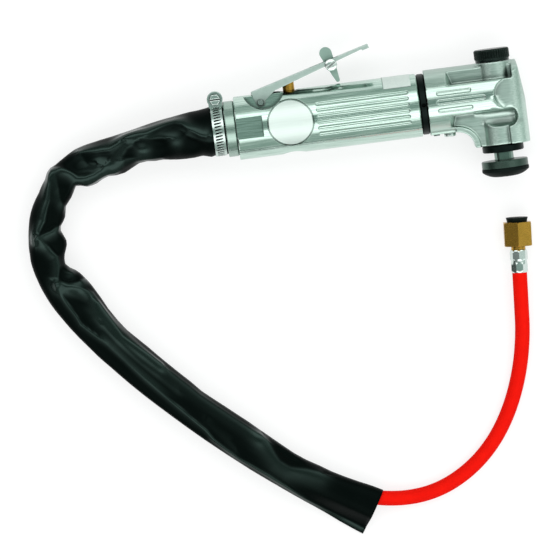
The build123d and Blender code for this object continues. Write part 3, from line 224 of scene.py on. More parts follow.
# Three round-ended slots, 3.2 mm wide and milled 0.8 mm deep, lie along the crown
crown_r, crown_lift = 22.75, 0.75
slot_half, slot_deep, slot_steep, slot_rear = 1.6, 0.8, 1.6, -40.9
slots = (z > 19) & (np.abs(y - crown_lift) < 9.5) & (x < -6.5)
round_crown = np.degrees(np.arctan2(y - crown_lift, z))
depth = np.zeros_like(x)
for angle, front in ((-15.3, -17.8), (0, -8.6), (15.3, -17.8)):
    gap = np.hypot(x - np.clip(x, slot_rear, front - slot_half),
                   np.radians(round_crown - angle) * crown_r)
    dip = slot_deep * (1 - (gap / slot_half) ** 2) * slot_steep
    depth = np.maximum(depth, np.clip(dip, 0, slot_deep))
# The side walls of the crank's room stand 0.4 mm further out than in the solid, clear of the fork
walls = crank_room & (np.abs(z) > 3)
z = z + 0.4 * np.sign(z) * walls
radius = np.where(slots, crown_r - depth, np.hypot(y - crown_lift, z))
spots = np.stack([x, crown_lift + radius * np.sin(np.radians(round_crown)),
                  radius * np.cos(np.radians(round_crown))], axis=1)
head_mesh.vertices.foreach_set("co", (spots * 0.001 + np.array(mid)).ravel())

head = shown("head_casting", head_mesh)
smooth(head, "tumbled", ~bore & ~slots, 9)
# The hollow over the lower boss runs out into the body in a wide fillet
run_out = (x > -18) & (x < 10.5) & (y < 0.5) & (y > -19) & (z > 4)
smooth(head, "hollow", ~bore & ~slots & run_out, 220)
most_triangles = 170000
thinned = head.modifiers.new("thinned", "DECIMATE")
thinned.ratio = most_triangles / (2 * len(head_mesh.polygons))
head_mesh = baked(head)
head_mesh.polygons.foreach_set("use_smooth", [True] * len(head_mesh.polygons))

# The head's painted shade from ambient occlusion reaches 6 mm, and deepens its hollows
buffed_casting = polish("buffed_casting", "#CCDFD6", "#AFC7BC", 0.13, reach=0.006)
tree = buffed_casting.node_tree
shader = tree.nodes["Principled BSDF"]
colour, roughness = (shader.inputs[name].links[0].from_socket
                     for name in ("Base Color", "Roughness"))
place = add(tree, "ShaderNodeTexCoord").outputs["Object"]
_, at_y, at_z = add(tree, "ShaderNodeSeparateXYZ", {0: place}).outputs
# The head is painted darker on the lever's side, and darker still below the level of the pocket
# floors: partly the pockets' casting skin, partly painted shade
pocket_floor = 0.0335
skin_and_shade = span(tree, at_z, (pocket_floor, pocket_floor + 0.0025), (0.74, 0.86))
lever_side_shade = span(tree, at_y, (-0.004, 0.004), (0.25, 1.0))
colour = mix(tree, lever_side_shade, colour, skin_and_shade, "MULTIPLY")
# The wall of the hollow over the lower boss, a strip 30 mm long and 8 mm wide, is painted darker:
# painted shade
hollow_shade_mid, hollow_shade_scale = (0.0925, -0.0144, 0.0), (1 / 0.015, 1 / 0.004, 0)
strip = add(tree, "ShaderNodeVectorMath", {0: place, 1: hollow_shade_mid}, operation="SUBTRACT")
strip = add(tree, "ShaderNodeVectorMath", {0: strip.outputs[0], 1: hollow_shade_scale},
            operation="MULTIPLY")
strip = add(tree, "ShaderNodeVectorMath", {0: strip.outputs[0]}, operation="LENGTH")
strip = span(tree, strip.outputs["Value"], (0.4, 1.1), (0.3, 1.0))
colour = mix(tree, 1.0, colour, strip, "MULTIPLY")
# Only the crown is buffed bright. From 1 mm below it the casting is satin
crown_top = 0.0418
satin = span(tree, at_z, (crown_top, crown_top - 0.001), (0.0, 0.17))
feed(tree, shader, Base_Color=colour, Roughness=reckon(tree, "ADD", satin, roughness))
head_mesh.materials.clear()
head_mesh.materials.append(buffed_casting)
head = shown("head_casting", head_mesh)
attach(head, "tool")
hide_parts("head_housing")


# ---- Collar, gasket and inlet bushing -----------------------------------------------------------
# A turned aluminium collar closes the rear end over a rubber gasket, and its spigot carries the
# exhaust sleeve. The steel inlet bushing inside takes the hose.

turned_aluminium = polish("turned_aluminium", "#A3B8AE", "#8DA499", 0.24)
dress(turned_aluminium, "exhaust_collar")

black_rubber, tree, shader, place = finish("nitrile_rubber", Roughness=0.62)
bloom = noise(tree, place, 0.003, 3.0)
feed(tree, shader, Base_Color=mix(tree, bloom, linear("#0C1110"), linear("#1B2321")))
dress(black_rubber, "collar_gasket", "valve_seal", "spindle_seal")


# ---- Air motor ----------------------------------------------------------------------------------
# Ground steel liner, end plates, rotor and ball bearings, with four fibre vanes in the rotor.
# They are pressed and clamped in the barrel bore.

def machined(name, light, dark, rough, reach=0.002, edge=0.0003):
    """Turned or ground steel: fine tool marks, and a slight change of tone from heat and oil."""
    material, tree, shader, place = finish(name, Metallic=1.0)
    tone = noise(tree, place, 0.006, 3.0)
    # Tool marks are about 0.05 mm apart, and are drawn 0.35 mm apart to show
    marks = noise(tree, place, 0.00035, 2.0)
    colour = mix(tree, tone, linear(dark), linear(light))
    # Corners are darkened from ambient occlusion: painted shade
    occlusion_shade = add(tree, "ShaderNodeAmbientOcclusion", {"Distance": reach}, samples=8).outputs["AO"]
    colour = mix(tree, 1.0, colour, span(tree, occlusion_shade, (0.35, 0.9), (0.12, 1.0)), "MULTIPLY")
    grain = span(tree, marks, (0.3, 0.7), (rough - 0.05, rough + 0.07))
    round_edge = add(tree, "ShaderNodeBevel", {"Radius": edge}, samples=6).outputs[0]
    bump = add(tree, "ShaderNodeBump", {"Height": marks, "Normal": round_edge, "Strength": 0.08,
                                        "Distance": 0.0001}).outputs[0]
    feed(tree, shader, Base_Color=colour, Roughness=grain, Normal=bump)
    return material


ground_steel = machined("ground_steel", "#AEBBB6", "#8C9A95", 0.26)
dress(ground_steel, "inlet_bushing", "rear_end_plate", "rear_bearing", "cylinder_liner", "rotor",
      "front_end_plate", "front_bearing", "crank_shaft", "crank_bearing", "eccentric_bearing",
      "rocker_fork", "latch_spring", "lever_pin", "head_set_screw")
bright_steel = machined("nickelled_steel", "#E3ECE8", "#CBD8D2", 0.14, edge=0.001)
dress(bright_steel, "grease_plug", "clamp_screw")

vane_fibre, tree, shader, place = finish("cotton_phenolic", Roughness=0.55)
# Cotton layers in the vane stock, 0.3 mm thick
layers = add(tree, "ShaderNodeTexWave", {"Vector": place, "Scale": 1 / 0.0019,
                                         "Distortion": 1.5}).outputs["Fac"]
feed(tree, shader, Base_Color=mix(tree, layers, linear("#5A3B22"), linear("#75502F")))
dress(vane_fibre, "rotor_vanes")


# ---- Throttle valve -----------------------------------------------------------------------------
# A turned brass plunger slides in a brass guide under the lever, with a rubber seal and a spring.
# Only its button shows.

brass = machined("turned_brass", "#CF9D45", "#A58233", 0.26)
dress(brass, "valve_plunger", "valve_guide", "upper_bush", "lower_bush", "hose_coupling")


def hoops(rings, around):
    """Faces that join each ring of points to the next."""
    return [(r * around + k, r * around + (k + 1) % around,
             (r + 1) * around + (k + 1) % around, (r + 1) * around + k)
            for r in range(rings - 1) for k in range(around)]


def drawn(name, points, faces, material):
    """A new piece from its points and faces."""
    mesh = bpy.data.meshes.new(name)
    mesh.from_pydata(points, [], faces)
    mesh.materials.append(material)
    return shown(name, mesh)


# The spring is wound from 1 mm wire, 7 turns with closed ends.
spring_low, spring_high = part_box("valve_spring")
wire_r, turns, steps, facets = 0.0005, 7, 40, 10
coil_r = (spring_high[0] - spring_low[0]) / 2 - wire_r
coil_low, coil_high = spring_low[1] + wire_r, spring_high[1] - wire_r
centre = ((spring_low[0] + spring_high[0]) / 2, (spring_low[2] + spring_high[2]) / 2)
coil_rings = turns * steps + 1
coil = []
for k in range(coil_rings):
    wound = k / steps
    # Three quarters of a turn lie flat at each end
    climb = min(max(wound - 0.75, 0) / (turns - 1.5), 1)
    level = coil_low + (coil_high - coil_low) * climb
    heading = 2 * math.pi * wound
    for f in range(facets):
        r = coil_r + wire_r * math.cos(2 * math.pi * f / facets)
        coil.append((centre[0] + r * math.cos(heading),
                     level + wire_r * math.sin(2 * math.pi * f / facets),
                     centre[1] - r * math.sin(heading)))
coil_faces = hoops(coil_rings, facets)
coil_faces += [tuple(reversed(range(facets))),
               tuple(range((coil_rings - 1) * facets, coil_rings * facets))]
spring = drawn("wound_valve_spring", coil, coil_faces, ground_steel)
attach(spring, "tool")
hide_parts("valve_spring")
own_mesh(spring)


# ---- Throttle lever and lock-off latch ----------------------------------------------------------
# The lever is a folded steel channel, chromed, on a pin at the rear. The latch is a zinc die
# casting that swings on a screw through the lever and stops it against the barrel.

# The lever's painted shade from ambient occlusion reaches 14 mm, and darkens the inside of its
# channel
chromed_steel = machined("satin_chromed_steel", "#C2D2CB", "#ABBFB7", 0.4, reach=0.014, edge=0.0009)
dress(chromed_steel, "throttle_lever")

zinc = machined("tumbled_zinc", "#A6BFB4", "#8FAA9F", 0.4)
dress(zinc, "safety_latch")

# The latch screw has a domed head with a driver slot 1.2 mm wide, and a plain head at the far side
screw_low, screw_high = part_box("latch_screw")
screw_mid = (Vector(screw_low) + Vector(screw_high)) / 2
head_r, shank_r = (screw_high[0] - screw_low[0]) / 2, 0.0016
head_height, brim, chamfer = 0.0015, 0.0004, 0.0005
tip = screw_high[2] - screw_mid.z
screw_profile = [
    (0, -tip), (head_r - chamfer, -tip), (head_r, chamfer - tip), (head_r, head_height - tip),
    (shank_r, head_height - tip), (shank_r, tip - head_height), (head_r, tip - head_height)]
for degrees in range(0, 91, 10):
    domed = (head_height - brim) * math.sin(math.radians(degrees))
    screw_profile.append((head_r * math.cos(math.radians(degrees)),
                          tip - head_height + brim + domed))
lathe = bmesh.new()
outline = [lathe.verts.new((r, 0, h)) for r, h in screw_profile]
outline += [lathe.edges.new(pair) for pair in zip(outline, outline[1:])]
bmesh.ops.spin(lathe, geom=outline, cent=(0, 0, 0), axis=(0, 0, 1), angle=2 * math.pi, steps=48)
bmesh.ops.remove_doubles(lathe, verts=lathe.verts, dist=1e-6)
bmesh.ops.recalc_face_normals(lathe, faces=lathe.faces)
bmesh.ops.translate(lathe, verts=lathe.verts, vec=screw_mid)
blank = shown("turned_screw", settled("turned_screw", lathe))
blade_size, blade_turn = (0.012, 0.0012, 0.0016, 1), math.radians(35)
cutter = bmesh.new()
bmesh.ops.create_cube(cutter, size=1.0, matrix=Matrix.Translation(screw_mid + Vector((0, 0, tip)))
                      @ Matrix.Rotation(blade_turn, 4, "Z") @ Matrix.Diagonal(blade_size))
blade = shown("driver_blade", settled("driver_blade", cutter))
milled = blank.modifiers.new("milled", "BOOLEAN")
milled.operation, milled.object, milled.solver = "DIFFERENCE", blade, "EXACT"
screw_mesh = baked(blank)
bpy.data.objects.remove(blade)
screw_mesh.materials.clear()
screw_mesh.materials.append(bright_steel)
screw = shown("slotted_latch_screw", screw_mesh)
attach(screw, "lever")
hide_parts("latch_screw")


# ---- Label --------------------------------------------------------------------------------------
# A bare coated paper label is stuck round the lever side of the barrel.
# Its rear and lower edges are painted darker: a painted shadow along the label's edge.

white_label, tree, shader, place = finish("coated_label", Roughness=0.42)
fibre = noise(tree, place, 0.0015, 4.0)
colour = mix(tree, fibre, linear("#C6D3CD"), linear("#DEE8E3"))
label_low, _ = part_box("rating_label")
shadow_width = 0.0005
at_x, at_y, _ = add(tree, "ShaderNodeSeparateXYZ", {0: place}).outputs
# A painted shadow 0.5 mm wide along the rear and lower edges
rear = reckon(tree, "LESS_THAN", at_x, label_low[0] + shadow_width)
lower = reckon(tree, "LESS_THAN", at_y, label_low[1] + shadow_width)
edge_shadow = reckon(tree, "MAXIMUM", rear, lower)
feed(tree, shader, Base_Color=mix(tree, edge_shadow, colour, linear("#7C9088")))
dress(white_label, "rating_label")


# ---- Lock ring, flange and knob -----------------------------------------------------------------
# Turned steel, blacked in hot oxide salts: nearly black, with a dull sheen. The knob has straight
# knurling round its rim, and fingers have rubbed it paler than the rest.

black_oxide = machined("black_oxide_steel", "#1E2725", "#111816", 0.4)
dress(black_oxide, "lock_ring", "spindle_flange")


def copies_tree():
    """Geometry Nodes: copies of one mesh round an axis through zero, joined and set in place."""
    tree = bpy.data.node_groups.new("copies_round_an_axis", "GeometryNodeTree")
    for name, kind in (("One", "Geometry"), ("Count", "Int"), ("Axis", "Vector"),
                       ("Place", "Vector"), ("Finish", "Material")):
        tree.interface.new_socket(name, in_out="INPUT", socket_type="NodeSocket" + kind)
    tree.interface.new_socket("Geometry", in_out="OUTPUT", socket_type="NodeSocketGeometry")

    def made(kind, **inputs):
        """What a new node gives."""
        return add(tree, kind, inputs).outputs[0]

    given = add(tree, "NodeGroupInput").outputs
    index = made("GeometryNodeInputIndex")
    step = reckon(tree, "DIVIDE", 2 * math.pi, given["Count"])
    angle = reckon(tree, "MULTIPLY", index, step)
    turn = made("FunctionNodeAxisAngleToRotation", Axis=given["Axis"], Angle=angle)
    points = made("GeometryNodePoints", Count=given["Count"])
    copies = made("GeometryNodeInstanceOnPoints", Points=points, Instance=given["One"],
                  Rotation=turn)
    real = made("GeometryNodeRealizeInstances", Geometry=copies)
    joined = made("GeometryNodeMergeByDistance", Geometry=real, Distance=2e-6)
    placed = made("GeometryNodeTransform", Geometry=joined, Translation=given["Place"])
    done = made("GeometryNodeSetMaterial", Geometry=placed, Material=given["Finish"])
    add(tree, "NodeGroupOutput", {"Geometry": done})
    return tree


ring_of_copies = copies_tree()


def copies_round(name, mesh, count, axis, place, material):
    """One piece made of copies of a mesh round an axis, as a plain mesh."""
    maker = shown(name + "_one", mesh)
    modifier = maker.modifiers.new("copies", "NODES")
    modifier.node_group = ring_of_copies
    given = {"Count": count, "Axis": axis, "Place": place, "Finish": material}
    for item in ring_of_copies.interface.items_tree:
        if item.in_out == "INPUT" and item.name in given:
            modifier[item.identifier] = given[item.name]
    return shown(name, baked(maker))


# One rib of the knob is made, and copied round
ribs = 42
_, knob_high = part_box("clamp_knob")
knob_height = 8.7
knob_foot = Vector((mid.x, knob_high[1] - knob_height * 0.001, mid.z))
# Profile of the knob and its stem, as radius and height over the foot in mm
knob_profile = [
    (0, knob_height), (10.9, knob_height), (11.7, 8.5), (12.2, 7.9), (12.35, 7.3), (12.35, 2.1),
    (12.0, 1.6), (11.85, 1.5), (11.85, 0), (5, 0), (5, -12), (4.05, -12), (4.05, 6.7), (0, 6.7)]
# The grooves are 0.6 mm deep. Land and flank are shares of a rib's width
groove, land, flank, knurl_r = 0.6, 0.12, 0.2, 12.1
rib = bmesh.new()
columns = []
for share in (-0.5, -0.3, -land, land, 0.3, 0.5):
    angle = share * 2 * math.pi / ribs
    root = groove * min(1, max(0, abs(share) - land) / flank)
    radii = [r - root if r > knurl_r else r for r, _ in knob_profile]
    columns.append([
        rib.verts.new((r * math.sin(angle) * 0.001, h * 0.001, r * math.cos(angle) * 0.001))
        for r, (_, h) in zip(radii, knob_profile)])
for left, right in zip(columns, columns[1:]):
    for k in range(len(knob_profile) - 1):
        rib.faces.new((left[k], left[k + 1], right[k + 1], right[k]))
knob = copies_round("knurled_knob", settled("knob_rib", rib), ribs, (0, 1, 0), knob_foot,
                    machined("blacked_knurl", "#35403C", "#222B28", 0.26))
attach(knob, "knob")
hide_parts("clamp_knob")


# ---- Clamp rod and disc cap ---------------------------------------------------------------------
# The clamp rod's disc is dark turned steel, and the spindle it slides in is polished. A moulded
# black cap covers the disc's underside.

gunmetal = machined("gunmetal_steel", "#54675E", "#3B4A44", 0.3)
dress(gunmetal, "clamp_rod")
dress(machined("polished_gunmetal", "#8CA197", "#647870", 0.12), "spindle")

black_plastic, tree, shader, place = finish("black_nylon", Roughness=0.5, Specular_IOR_Level=0.04,
                                            Specular_Tint=(0.7, 1.0, 0.9, 1.0))
grain = noise(tree, place, 0.0006, 2.0)
bump = add(tree, "ShaderNodeBump", {"Height": grain, "Strength": 0.1, "Distance": 0.0001})
feed(tree, shader, Base_Color=mix(tree, grain, linear("#0B110F"), linear("#161D1B")),
     Normal=bump.outputs[0])
dress(black_plastic, "disc_cap", "dust_plug")


# ---- Exhaust sleeve -----------------------------------------------------------------------------
# A limp black vinyl tube, slipped over the collar's spigot, carries the exhaust air away round the
# hose. It flattens under its own weight and breaks into sharp folds on the inside of the bend.

below = Vector((mid.x, mid.y, 0.0))            # the floor under the spindle


def route(name, points, resolution, bevel=0.0):
    """A NURBS line through control points, in mm from the floor under the spindle."""
    curve = bpy.data.curves.new(name, "CURVE")
    curve.dimensions = "3D"
    curve.resolution_u = curve.render_resolution_u = resolution
    spline = curve.splines.new("NURBS")
    spline.points.add(len(points) - 1)
    for target, point in zip(spline.points, points):
        target.co = (*(Vector(point) * 0.001 + below), 1.0)
    spline.order_u = 3
    spline.use_endpoint_u = True
    curve.bevel_depth = bevel
    curve.bevel_resolution = 8
    return shown(name, curve)


sleeve_line = route("sleeve_line", [
    (-190.7, 0, 22.75), (-203, 0, 22.75), (-217.5, 0, 22.75), (-238, -0.6, 22.4), (-263, -6.8, 18),
    (-287.6, -12.6, 14.8), (-308.3, -26.7, 13.6), (-321.7, -47.8, 13.6), (-325.5, -72.5, 13.6),
    (-319.1, -96.7, 13.6), (-303.5, -116.3, 13.6), (-276.1, -152.8, 13.4), (-240.1, -189.6, 13.0),
    (-203.6, -221.4, 12.2), (-161.0, -256.2, 10.8), (-121.5, -280.2, 9.2)], 32)
path = np.array([v.co for v in baked(sleeve_line).vertices]) * 1000

# Half widths seen from above, in mm: distance along the sleeve, outer side, inner side of the bend
widths = np.array([
    (0, 17.12, 17.12), (9.6, 17.12, 17.12), (12, 16.6, 17.8), (18, 15.8, 16.2), (24, 15.4, 16.8),
    (30, 14.6, 16.8), (36, 13.8, 16.4), (42, 13.2, 15.6), (48, 12.8, 14.2), (54, 12.6, 13.6),
    (60, 12.6, 11.8), (66, 12.8, 11.0), (72, 13.0, 12.4), (78, 13.2, 13.8), (84, 13.6, 13.4),
    (90, 14.0, 12.0), (96, 15.0, 12.0), (102, 16.0, 12.4), (106, 16.0, 11.8), (110, 16.0, 10.4),
    (113, 16.2, 6.6), (116, 16.4, 4.2), (119, 17.6, 5.0), (122, 17.4, 6.0), (126, 15.6, 6.8),
    (130, 15.2, 6.8), (134, 14.6, 6.6), (138, 14.8, 8.0), (142, 15.0, 9.0), (146, 15.0, 8.8),
    (150, 14.8, 7.8), (154, 14.4, 8.2), (158, 14.2, 10.6), (162, 14.0, 12.6), (166, 14.0, 12.8),
    (170, 13.8, 11.8), (174, 14.0, 10.4), (178, 13.8, 9.4), (182, 13.6, 9.0), (186, 13.4, 11.0),
    (190, 13.4, 13.8), (194, 13.4, 15.4), (198, 13.6, 16.2), (204, 14.0, 16.8), (210, 14.6, 16.6),
    (216, 15.2, 15.6), (222, 15.6, 14.6), (230, 15.8, 13.0), (240, 15.6, 12.0), (250, 15.4, 11.8),
    (260, 14.8, 12.6), (270, 14.6, 13.2), (290, 14.4, 13.2), (310, 14.2, 13.0), (320, 14.2, 12.2),
    (340, 14.4, 12.8), (360, 14.6, 12.8), (380, 14.6, 12.0), (400, 14.2, 11.2), (410, 14.4, 11.4),
    (420, 14.9, 12.2), (430, 15.4, 12.4), (440, 16.2, 13.2), (450, 17.4, 14.2), (460, 18.3, 15.4),
    (470, 19.0, 16.0)])
# Height of the crown over the middle, and how square the section is on its outer and inner side
crowns = np.array([
    (0, 17.12, 2, 2), (12, 17.0, 2, 2), (30, 15.5, 2, 2), (48, 13.2, 2.2, 2.2),
    (70, 11.6, 2.4, 2.4), (100, 10.8, 2.5, 2.5), (200, 10.2, 3.2, 2.7), (240, 10, 4.5, 3),
    (400, 9.6, 5, 3), (440, 9, 4.5, 2.8), (470, 8.2, 4, 2.6)])
# Folds: height and half width of the ridge in mm, then its line as (distance along, across)
folds = [
    (1.6, 1.7, [(14, 1.5), (17.7, .4), (24.3, -4.1), (29.3, -8.5), (34.4, -10), (39.2, -9.5),
                (45.8, -8), (52.3, -6.8), (59.4, -8.3), (67.9, -8.3), (73.9, -6.8), (80.5, -5.5),
                (89.7, -7.6), (98.8, -11.9)]),
    (1.0, 1.6, [(12, 6), (16.7, 4.7), (23.2, 1.8), (27, -1)]),
    (1.2, 1.8, [(42, -1), (49.3, -3), (57.6, -6), (65.4, -7)]),
    (1.6, 2.8, [(64, -3.8), (68.8, -3.2), (73.9, .8), (76.6, 6.8), (82.6, 10.6), (92.9, 10.8),
                (104.3, 10.1), (111, 8.4)]),
    (1.0, 1.8, [(72, 4.5), (68.8, 5.3), (60.6, 8.4), (47.6, 13)]),
    (1.8, 1.5, [(118.2, -16.7), (113.9, -10.4), (111.8, -4.9), (110.1, .4), (105.4, 3.7),
                (98.5, 5.6), (91.2, 5.3), (87.7, 3.3), (90.9, .3)]),
    (0.9, 1.5, [(99.9, -11.4), (100.2, -7.3), (99.6, -3), (92.9, .3)]),
    (1.9, 1.6, [(118.5, -17), (122.5, -14.2), (126.8, -10.5), (135.2, -6), (148.7, -4.3),
                (156.1, -6.8), (159.9, -7.3)]),
    (1.6, 1.6, [(159.9, -6.5), (155.3, 1.9), (150.4, 6.9)]),
    (1.6, 1.6, [(160.5, -7), (161.7, -5.9), (166.6, .2), (174, 4.9), (180.9, 4.6), (189, .6),
                (192.8, -1.7)]),
    (1.1, 1.6, [(119.4, -15.2), (121.4, -10.1), (125.9, -4.3), (129.7, -1.4), (133.1, 2.7),
                (134.6, 6.2)]),
    (1.5, 2.2, [(192.2, .8), (197.1, 5), (200.5, 10.4), (201.4, 15.5)]),
    (1.6, 0.9, [(193, -1.5), (207.1, -3.6), (216.5, -5), (224.1, -7.1), (234.3, -5.6), (248, -2.7),
                (263.9, -2.3), (282.8, -3.6), (302.5, -4.4), (321.9, -5.8), (337.9, -7.3),
                (345.9, -9.7), (356.9, -10.6), (367.6, -11.3), (376.7, -10.6), (392.4, -10.2),
                (405.8, -10.6), (422.9, -12.6), (442.5, -13.6), (459.3, -14.4), (469, -15)]),
    (1.4, 1.8, [(193.9, 1.6), (204.8, 8.8), (214.5, 13.2), (222.1, 11.7), (236.7, 8.3),
                (250.2, 6.3), (260, 7.6), (272.4, 9.1), (285, 10)]),
    (0.6, 1.5, [(235.2, 2.7), (251.3, 2.2), (271.8, 2.2), (289.9, 3.4), (305, 4)]),
    (0.6, 1.5, [(334.5, -.4), (346.5, -1.9), (355.1, -4.4), (362, -7)]),
    (1.1, 2.2, [(222, 11), (262, 10.4), (300, 10.4), (340, 10), (372, 9.5)]),
    (1.4, 3.0, [(375.5, 9.7), (384.2, 4.9), (392.4, .8), (401.6, .7), (411.8, 5), (422.1, 8)]),
]
# Dents and swellings: place along and across, depth, and how far they reach along and across
dents = [
    (24, 5, -1.6, 5, 6), (35, 2.5, 1.5, 5, 7), (46, 3, -2.0, 5, 6), (58, 3, 1.8, 6, 6),
    (103, -2, -1.8, 6, 4), (90, -2, -1.0, 6, 4), (122, -3, -1.5, 5, 5), (150, 2, -1.5, 8, 5),
    (163, 5, -1.6, 6, 5), (190, 10.5, 1.2, 5, 4), (194, 5, -1.2, 4, 4), (212, 3, -2.0, 10, 5),
    (227, 3, 0.8, 8, 4), (396, 8, -2.2, 9, 4)]

along = np.concatenate([[0], np.cumsum(np.linalg.norm(np.diff(path, axis=0), axis=1))])


def at(table, column):
    """A column of a table, at every ring of the sleeve."""
    return np.interp(along, table[:, 0], table[:, column])[:, None]


def ease(low, high, value):
    """A soft step from 0 to 1."""
    share = np.clip((value - low) / (high - low), 0, 1)
    return share ** 2 * (3 - 2 * share)


forward = np.gradient(path, axis=0)
forward /= np.linalg.norm(forward, axis=1)[:, None]
inward = np.cross((0, 0, 1), forward)
inward /= np.linalg.norm(inward, axis=1)[:, None]
upward = np.cross(forward, inward)
# Each ring has more points over the top, where the folds are, than underneath
top_count, under_count = 70, 28
around = top_count + under_count
bearing = np.concatenate([np.linspace(0, np.pi, top_count, endpoint=False),
                          np.linspace(np.pi, 2 * np.pi, under_count, endpoint=False)])[None, :]
spigot_r, floor_gap, widest = 17.12, 0.3, 21.0
inner = np.cos(bearing) >= 0
half = np.where(inner, at(widths, 2), at(widths, 1))
square = np.where(inner, at(crowns, 3), at(crowns, 2))
base = np.minimum(path[:, 2:3] - floor_gap, spigot_r)
rise = np.where(np.sin(bearing) >= 0, at(crowns, 1), base)
across = half * np.sign(np.cos(bearing)) * np.abs(np.cos(bearing)) ** (2 / square)
height = rise * np.sign(np.sin(bearing)) * np.abs(np.sin(bearing)) ** (2 / square)
facing = np.stack([np.sign(across) * np.abs(across / half) ** (square - 1) / half,
                   np.sign(height) * np.abs(height / rise) ** (square - 1) / rise])
facing /= np.linalg.norm(facing, axis=0)
distance = np.broadcast_to(along[:, None], across.shape)
lift = np.zeros_like(across)
rubbed = np.zeros_like(across)
# A fold is steep on one side and runs out gently on the other, as shares of its half width.
# The gentle side is rubbed shiny, and the steep side stays dull
steep, gentle = 1.2, 2.8
dull, shiny = 0.6, 3.2
for ridge, width, line in folds:
    nearest, side = np.full(across.shape, 1e9), np.zeros_like(across)
    for (s0, q0), (s1, q1) in zip(line, line[1:]):
        ds, dq = s1 - s0, q1 - q0
        share = ((distance - s0) * ds + (across - q0) * dq) / (ds ** 2 + dq ** 2)
        share = np.clip(share, 0, 1)
        gap = np.hypot(distance - s0 - share * ds, across - q0 - share * dq)
        side = np.where(gap < nearest, ds * (across - q0) - dq * (distance - s0), side)
        nearest = np.minimum(nearest, gap)
    lift += ridge * np.exp(-(nearest / (width * np.where(side > 0, steep, gentle))) ** 2)
    rubbed += ridge * np.exp(-(nearest / (width * np.where(side > 0, dull, shiny))) ** 2)
for s0, q0, swell, reach_s, reach_q in dents:
    bulge = np.exp(-((distance - s0) / reach_s) ** 2 - ((across - q0) / reach_q) ** 2)
    lift += swell * bulge
    rubbed += max(swell, 0) * bulge
full_shine, falloff = 1.7, 1.7
crest = np.clip(rubbed / full_shine, 0, 1) ** falloff
# No folds under the clamp, on the underside or on the outermost edges
lift *= ease(-0.1, 0.4, height / rise) * ease(9.8, 15, distance)
lift *= 1 - ease(0.72, 1.0, np.abs(across) / half)
across = across + facing[0] * lift
height = height + facing[1] * lift
trim = np.minimum(1, widest / np.hypot(across, height))
across, height = across * trim, height * trim
skin = path[:, None, :] + inward[:, None, :] * across[..., None]
skin = skin + upward[:, None, :] * height[..., None]
# Towards its open end the outer side lies flat on the floor
flat = 1 - 0.75 * ease(395, 462, distance) * ease(2, 15, -across)
skin[..., 2] = floor_gap + (skin[..., 2] - floor_gap) * flat
skin[..., 2] = np.maximum(skin[..., 2], floor_gap)

vinyl, tree, shader, place = finish("plasticised_vinyl", Specular_Tint=(0.62, 1.0, 0.88, 1.0))
# Folds are burnished on their crests by handling, and dull in between
burnish = add(tree, "ShaderNodeAttribute", attribute_name="crest").outputs["Fac"]
cloud = noise(tree, place, 0.015, 3.0)
crease = noise(tree, place, 0.004, 2.0)
bump = add(tree, "ShaderNodeBump", {"Height": crease, "Strength": 0.08, "Distance": 0.0004})
feed(tree, shader, Base_Color=mix(tree, cloud, linear("#020504"), linear("#050908")),
     Specular_IOR_Level=span(tree, burnish, (0.0, 1.0), (0.03, 0.42)),
     Roughness=span(tree, burnish, (0.0, 1.0), (0.42, 0.24)), Normal=bump.outputs[0])

sleeve = drawn("exhaust_sleeve_vinyl", (skin.reshape(-1, 3) * 0.001).tolist(),
               hoops(len(path), around), vinyl)
sleeve.data.polygons.foreach_set("use_smooth", [True] * len(sleeve.data.polygons))
sleeve.data.attributes.new("crest", "FLOAT", "POINT").data.foreach_set("value", crest.ravel())
wall = sleeve.modifiers.new("wall", "SOLIDIFY")
wall.thickness = 0.0009
wall.offset = -1
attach(sleeve, "tool")
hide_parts("exhaust_sleeve")


# ---- Sleeve clamp -------------------------------------------------------------------------------
# A worm-drive clamp holds the sleeve on the spigot: a stainless strip with slanted punched slots,
# closed by a screw in a pressed housing.

stainless = machined("stainless_strip", "#CBD8D3", "#B4C5BE", 0.22)
dress(stainless, "clamp_screw_housing")

band_low, band_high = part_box("clamp_band")
band_mid = (Vector(band_low) + Vector(band_high)) / 2
band_r, band_wall, band_half = 0.0180, 0.0007, 0.0040
cells = 50
pitch = 2 * math.pi / cells
slant = 0.05                                   # of a pitch for each mm across the strip
# One cell of the strip: its rim, and round the slot, both as (across the strip, round the axis)
rim = [(band_half * across_share, pitch * round_share) for across_share, round_share in (
    (-1, -.5), (-.5, -.5), (0, -.5), (.5, -.5), (1, -.5), (1, 0), (1, .5), (.5, .5), (0, .5),
    (-.5, .5), (-1, .5), (-1, 0))]
slot = [(mm * 0.001, pitch * (round_share - slant * mm)) for mm, round_share in (
    (-2.6, -.1), (-2.1, -.26), (0, -.24), (1.4, -.2), (2.4, -.12), (2.6, .02), (2.4, .14),
    (1.4, .2), (0, .24), (-1.4, .26), (-2.2, .26), (-2.6, .1))]
inside_r = band_r - band_wall
cell = bmesh.new()
loops = [[cell.verts.new((s, r * math.cos(a), r * math.sin(a))) for s, a in outline]
         for outline, r in ((rim, band_r), (slot, band_r), (slot, inside_r), (rim, inside_r))]
corners = len(rim)
for first, second in zip(loops, loops[1:]):
    for k in range(corners):
        after = (k + 1) % corners
        cell.faces.new((first[k], first[after], second[after], second[k]))
# The strip's two long edges
for k in (4, 5, 10, 11):
    after = (k + 1) % corners
    cell.faces.new((loops[3][k], loops[3][after], loops[0][after], loops[0][k]))
band = copies_round("clamp_band_punched", settled("band_cell", cell), cells, (1, 0, 0), band_mid,
                    stainless)
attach(band, "tool")
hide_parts("clamp_band")


# ---- Hose ferrule -------------------------------------------------------------------------------
# A drawn steel sleeve, pressed on the hose's end by two rounds of eight jaws, which leave two
# eight-sided bands with a round waist between them. The bands stand turned against each other.

foot = Vector((1.2, -126.4, 11.07)) * 0.001 + below
hose_end_turn = math.radians(4.06)
ahead = Vector((math.sin(hose_end_turn), math.cos(hose_end_turn), 0))
aside = Vector((ahead.y, -ahead.x, 0))
jaws, sides = 8, 64
